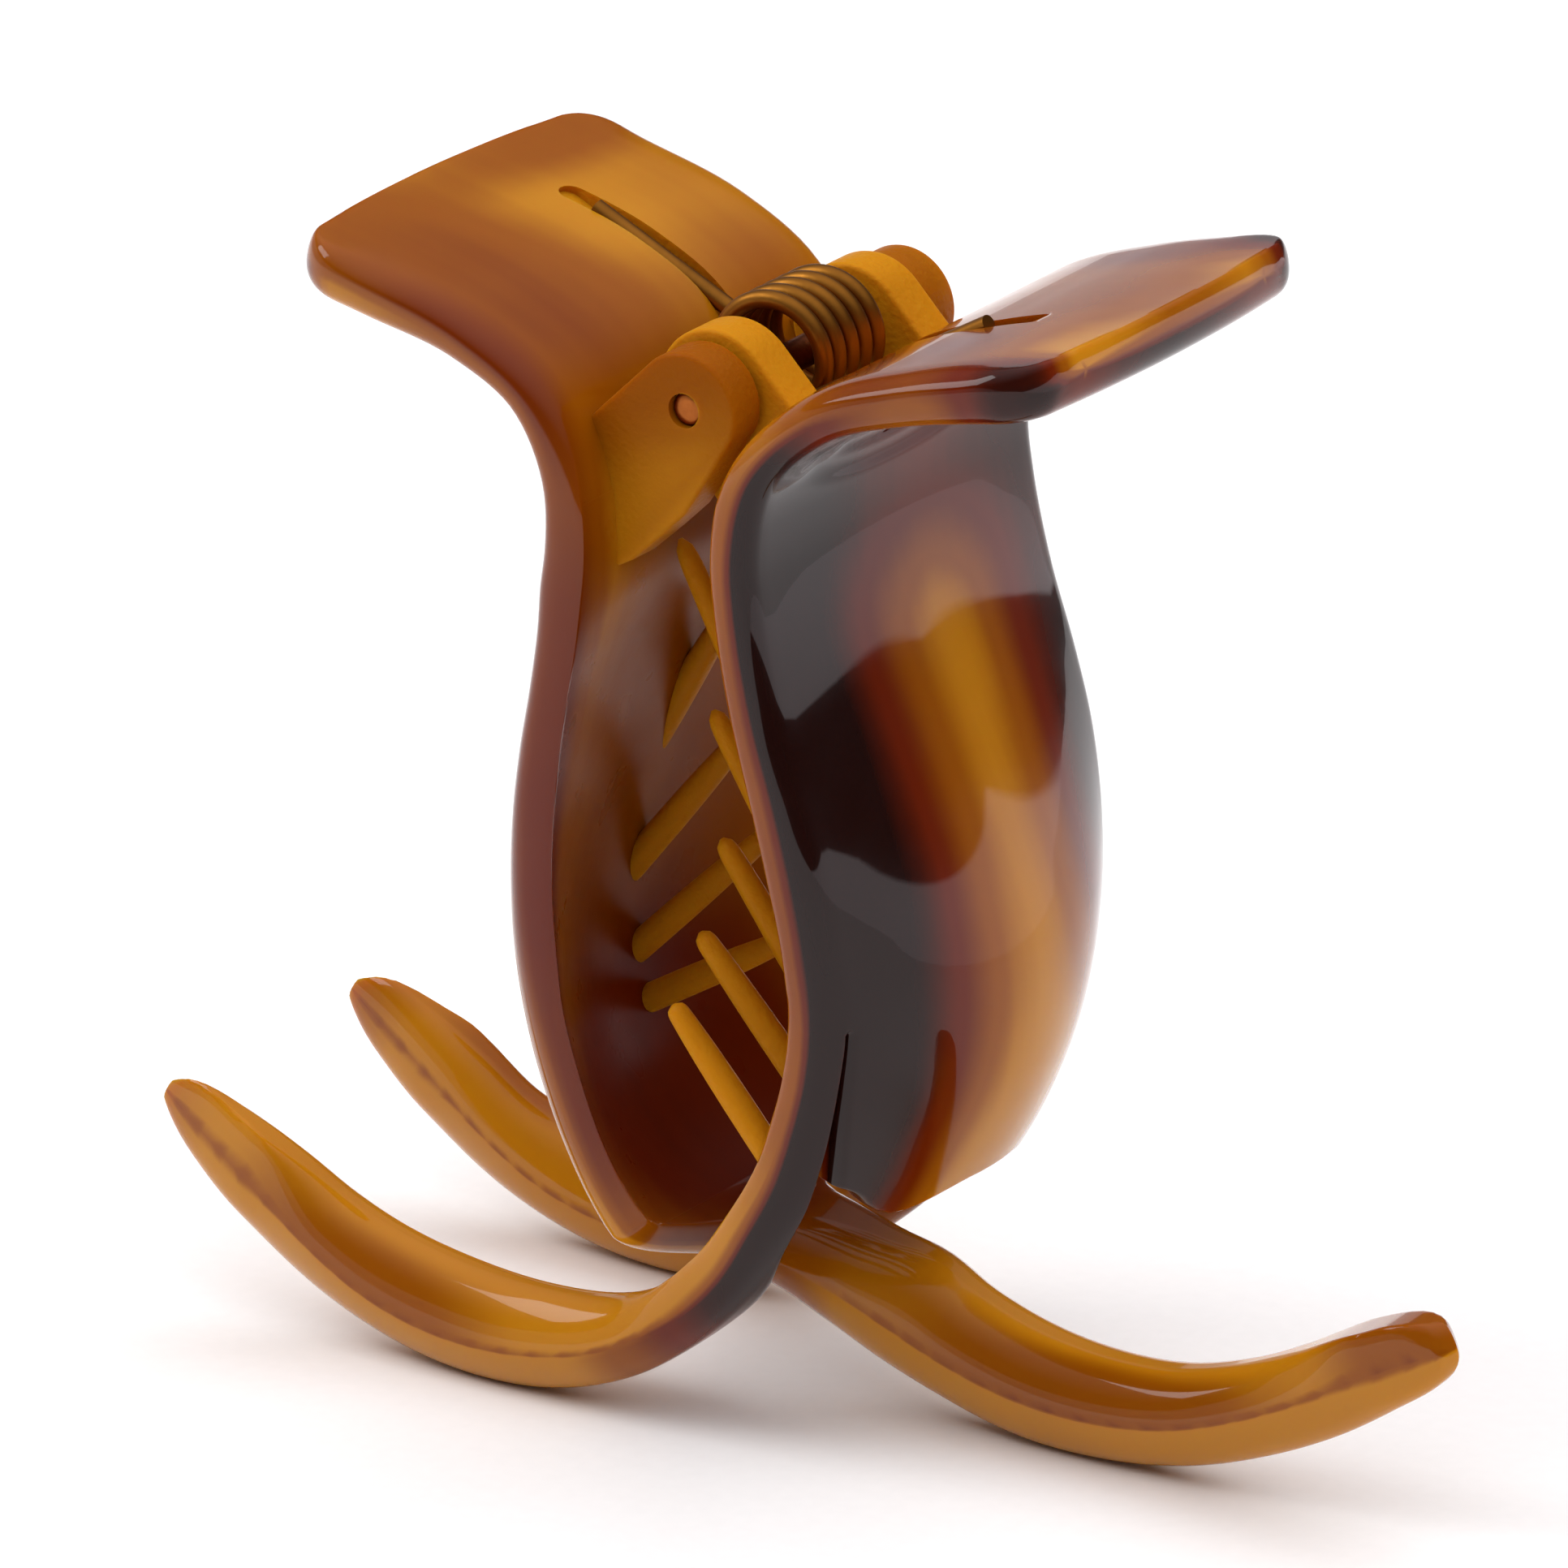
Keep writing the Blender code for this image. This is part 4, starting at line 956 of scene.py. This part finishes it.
class CLAW_OT_hinge_pin(bpy.types.Operator):
    """Turns the hinge pin, with a cut and slightly domed end on each side"""

    bl_idname = "claw.hinge_pin"
    bl_label = "Hinge pin"

    def execute(self, context):
        sizes, colours = context.scene.claw_sizes, context.scene.claw_colours
        r, half = sizes.pin_radius / MM, sizes.pin_half_length / MM
        ends = ((0.0, 0.5), (0.04, 0.82), (0.1, 0.95), (0.2, 1.0))
        near = [(gap / (2 * half), r * share) for gap, share in ends]
        radii = near + [(1 - at, radius) for at, radius in reversed(near)]
        obj = rod("turned_pin", (0, -half, 0), (0, half, 0), radii, 48)
        copper = drawn_metal("copper_plated_steel", colours.copper, linear("#6E3516"), 0.3, 0.35)
        finish_piece(obj, "right_side", "hinge_pin", [copper], 50)
        return {"FINISHED"}


class CLAW_OT_torsion_spring(bpy.types.Operator):
    """Winds the torsion spring, whose legs lie in the slots of the handles"""

    bl_idname = "claw.torsion_spring"
    bl_label = "Torsion spring"

    def execute(self, context):
        sizes, colours = context.scene.claw_sizes, context.scene.claw_colours
        bronze = drawn_metal("bronzed_spring_wire", colours.bronze, linear("#8A5C24"), 0.4, 0.9)
        values = {"Radius": sizes.wire_radius, "Sides": 20, "Rings": 2, "Material": bronze}
        obj = swept("wound_spring", [wire_path(sizes.coil_turns, 64)], sweep_tree("round wire", ()), values)
        finish_piece(obj, None, "torsion_spring", [bronze], 50)
        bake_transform(obj)
        return {"FINISHED"}


class CLAW_OT_stage(bpy.types.Operator):
    """Lays the pale floor, hangs the soft lights and places the camera"""

    bl_idname = "claw.stage"
    bl_label = "Stage"

    def execute(self, context):
        scene = context.scene
        mesh = bmesh.new()
        middle = Matrix.Translation(FLOOR_MIDDLE)
        bmesh.ops.create_circle(mesh, cap_ends=True, radius=FLOOR_RADIUS, segments=96, matrix=middle)
        floor = object_of(mesh, "pale_floor")
        made, tree, shader = new_material("matte_white_card")
        place = add(tree, "ShaderNodeTexCoord").outputs["Object"]
        fibre = add(tree, "ShaderNodeTexNoise", {"Vector": place, "Scale": 900.0, "Detail": 3.0})
        tone = add(tree, "ShaderNodeMapRange", {0: fibre.outputs["Fac"], 3: 0.9, 4: 0.94})
        tree.links.new(tone.outputs[0], shader.inputs["Base Color"])
        shader.inputs["Roughness"].default_value = 0.9
        shader.inputs["Specular IOR Level"].default_value = 0.1
        floor.data.materials.append(made)

        ceiling = bpy.data.lights.new("ceiling_light", "SUN")
        ceiling.angle = radians(100)
        ceiling.energy = 2.3
        softbox = bpy.data.lights.new("left_softbox", "AREA")
        softbox.size, softbox.energy = 0.6, 5.0
        for lamp, place in ((ceiling, (0.3, 0.1, 1.5)), (softbox, (-0.9, -0.5, 0.9))):
            obj = bpy.data.objects.new(lamp.name, lamp)
            scene.collection.objects.link(obj)
            obj.location = place
            obj.visible_glossy = lamp is softbox
            obj.rotation_euler = (Vector((0, 0, 0.03)) - Vector(place)).to_track_quat("-Z", "Y").to_euler()
        world = bpy.data.worlds.new("studio")
        world.use_nodes = True
        shade = world.node_tree.nodes["Background"]
        # Bright overhead and dim round the horizon, as in a room lit from its ceiling. Pale card stands
        # round the floor: a low strip beyond the right jaw that falls away to the back, and a taller, dimmer
        # one behind the left jaw. Each lean is how steeply a card's top edge rises along X and Y.
        tree = world.node_tree
        way = add(tree, "ShaderNodeTexCoord").outputs["Generated"]
        height = add(tree, "ShaderNodeSeparateXYZ", {"Vector": way}).outputs["Z"]
        tops = []
        for lean in ((0.498, -0.232, 0.0), (0.0, 0.16, 0.0), (-0.349, -0.03, 0.0)):
            top = add(tree, "ShaderNodeVectorMath", {0: way, 1: lean}, operation="DOT_PRODUCT")
            tops.append(top.outputs["Value"])
        strip = add(tree, "ShaderNodeMath", {0: tops[0], 1: tops[1]}, operation="MINIMUM").outputs[0]
        cards = []
        for top, strength in ((strip, 1.5), (tops[2], 0.45)):
            above = add(tree, "ShaderNodeMath", {0: height, 1: top}, operation="SUBTRACT").outputs[0]
            card = {0: above, 1: 0.0, 2: 0.01, 3: strength, 4: 0.0}
            cards.append(add(tree, "ShaderNodeMapRange", card).outputs[0])
        pale = add(tree, "ShaderNodeMath", {0: cards[0], 1: cards[1]}, operation="MAXIMUM").outputs[0]
        sky = add(tree, "ShaderNodeMapRange", {0: height, 1: 0.4, 2: 1.0, 3: 0.06, 4: 0.9}).outputs[0]
        both = add(tree, "ShaderNodeMath", {0: pale, 1: sky}, operation="ADD")
        tree.links.new(both.outputs[0], shade.inputs[1])
        shade.inputs[0].default_value = (1.0, 0.94, 0.97, 1)
        scene.world = world
        scene.view_settings.view_transform = "Standard"

        azimuth, elevation = radians(CAMERA_AZIMUTH), radians(CAMERA_ELEVATION)
        forward = Vector((-sin(azimuth) * cos(elevation), cos(azimuth) * cos(elevation), -sin(elevation)))
        right = Vector((cos(azimuth), sin(azimuth), 0))
        up = right.cross(forward)
        lens = bpy.data.cameras.new("camera")
        camera = bpy.data.objects.new("camera", lens)
        scene.collection.objects.link(camera)
        turn = Matrix((right, up, -forward)).transposed()
        across, along = FRAME_MIDDLE
        seat = HINGE + (across * right + along * up - CAMERA_DISTANCE * forward) * MM
        camera.matrix_world = Matrix.Translation(seat) @ turn.to_4x4()
        lens.sensor_width = 36
        lens.lens = 36 * CAMERA_DISTANCE / FRAME_WIDTH
        lens.clip_start, lens.clip_end = 0.05, 20
        scene.camera = camera
        return {"FINISHED"}


class CLAW_PT_panel(bpy.types.Panel):
    """The claw's sizes, colours and pieces"""

    bl_label = "Hair claw"
    bl_idname = "CLAW_PT_panel"
    bl_space_type = "VIEW_3D"
    bl_region_type = "UI"
    bl_category = "Hair claw"

    def draw(self, context):
        for group in (context.scene.claw_sizes, context.scene.claw_colours):
            box = self.layout.box()
            for name in group.__annotations__:
                box.prop(group, name)
        for kind in OPERATORS:
            self.layout.operator(kind.bl_idname)


OPERATORS = (
    CLAW_OT_left_jaw,
    CLAW_OT_right_jaw,
    CLAW_OT_pegs,
    CLAW_OT_hinge_pin,
    CLAW_OT_torsion_spring,
    CLAW_OT_stage,
)
CLASSES = (ClawSizes, ClawColours, *OPERATORS, CLAW_PT_panel)


def register():
    for kind in CLASSES:
        bpy.utils.register_class(kind)
    bpy.types.Scene.claw_sizes = PointerProperty(type=ClawSizes)
    bpy.types.Scene.claw_colours = PointerProperty(type=ClawColours)


def unregister():
    del bpy.types.Scene.claw_colours
    del bpy.types.Scene.claw_sizes
    for kind in reversed(CLASSES):
        bpy.utils.unregister_class(kind)


def main():
    register()
    bpy.ops.claw.left_jaw()
    bpy.ops.claw.right_jaw()
    bpy.ops.claw.pegs()
    bpy.ops.claw.hinge_pin()
    bpy.ops.claw.torsion_spring()
    bpy.ops.claw.stage()


if __name__ == "__main__":
    main()
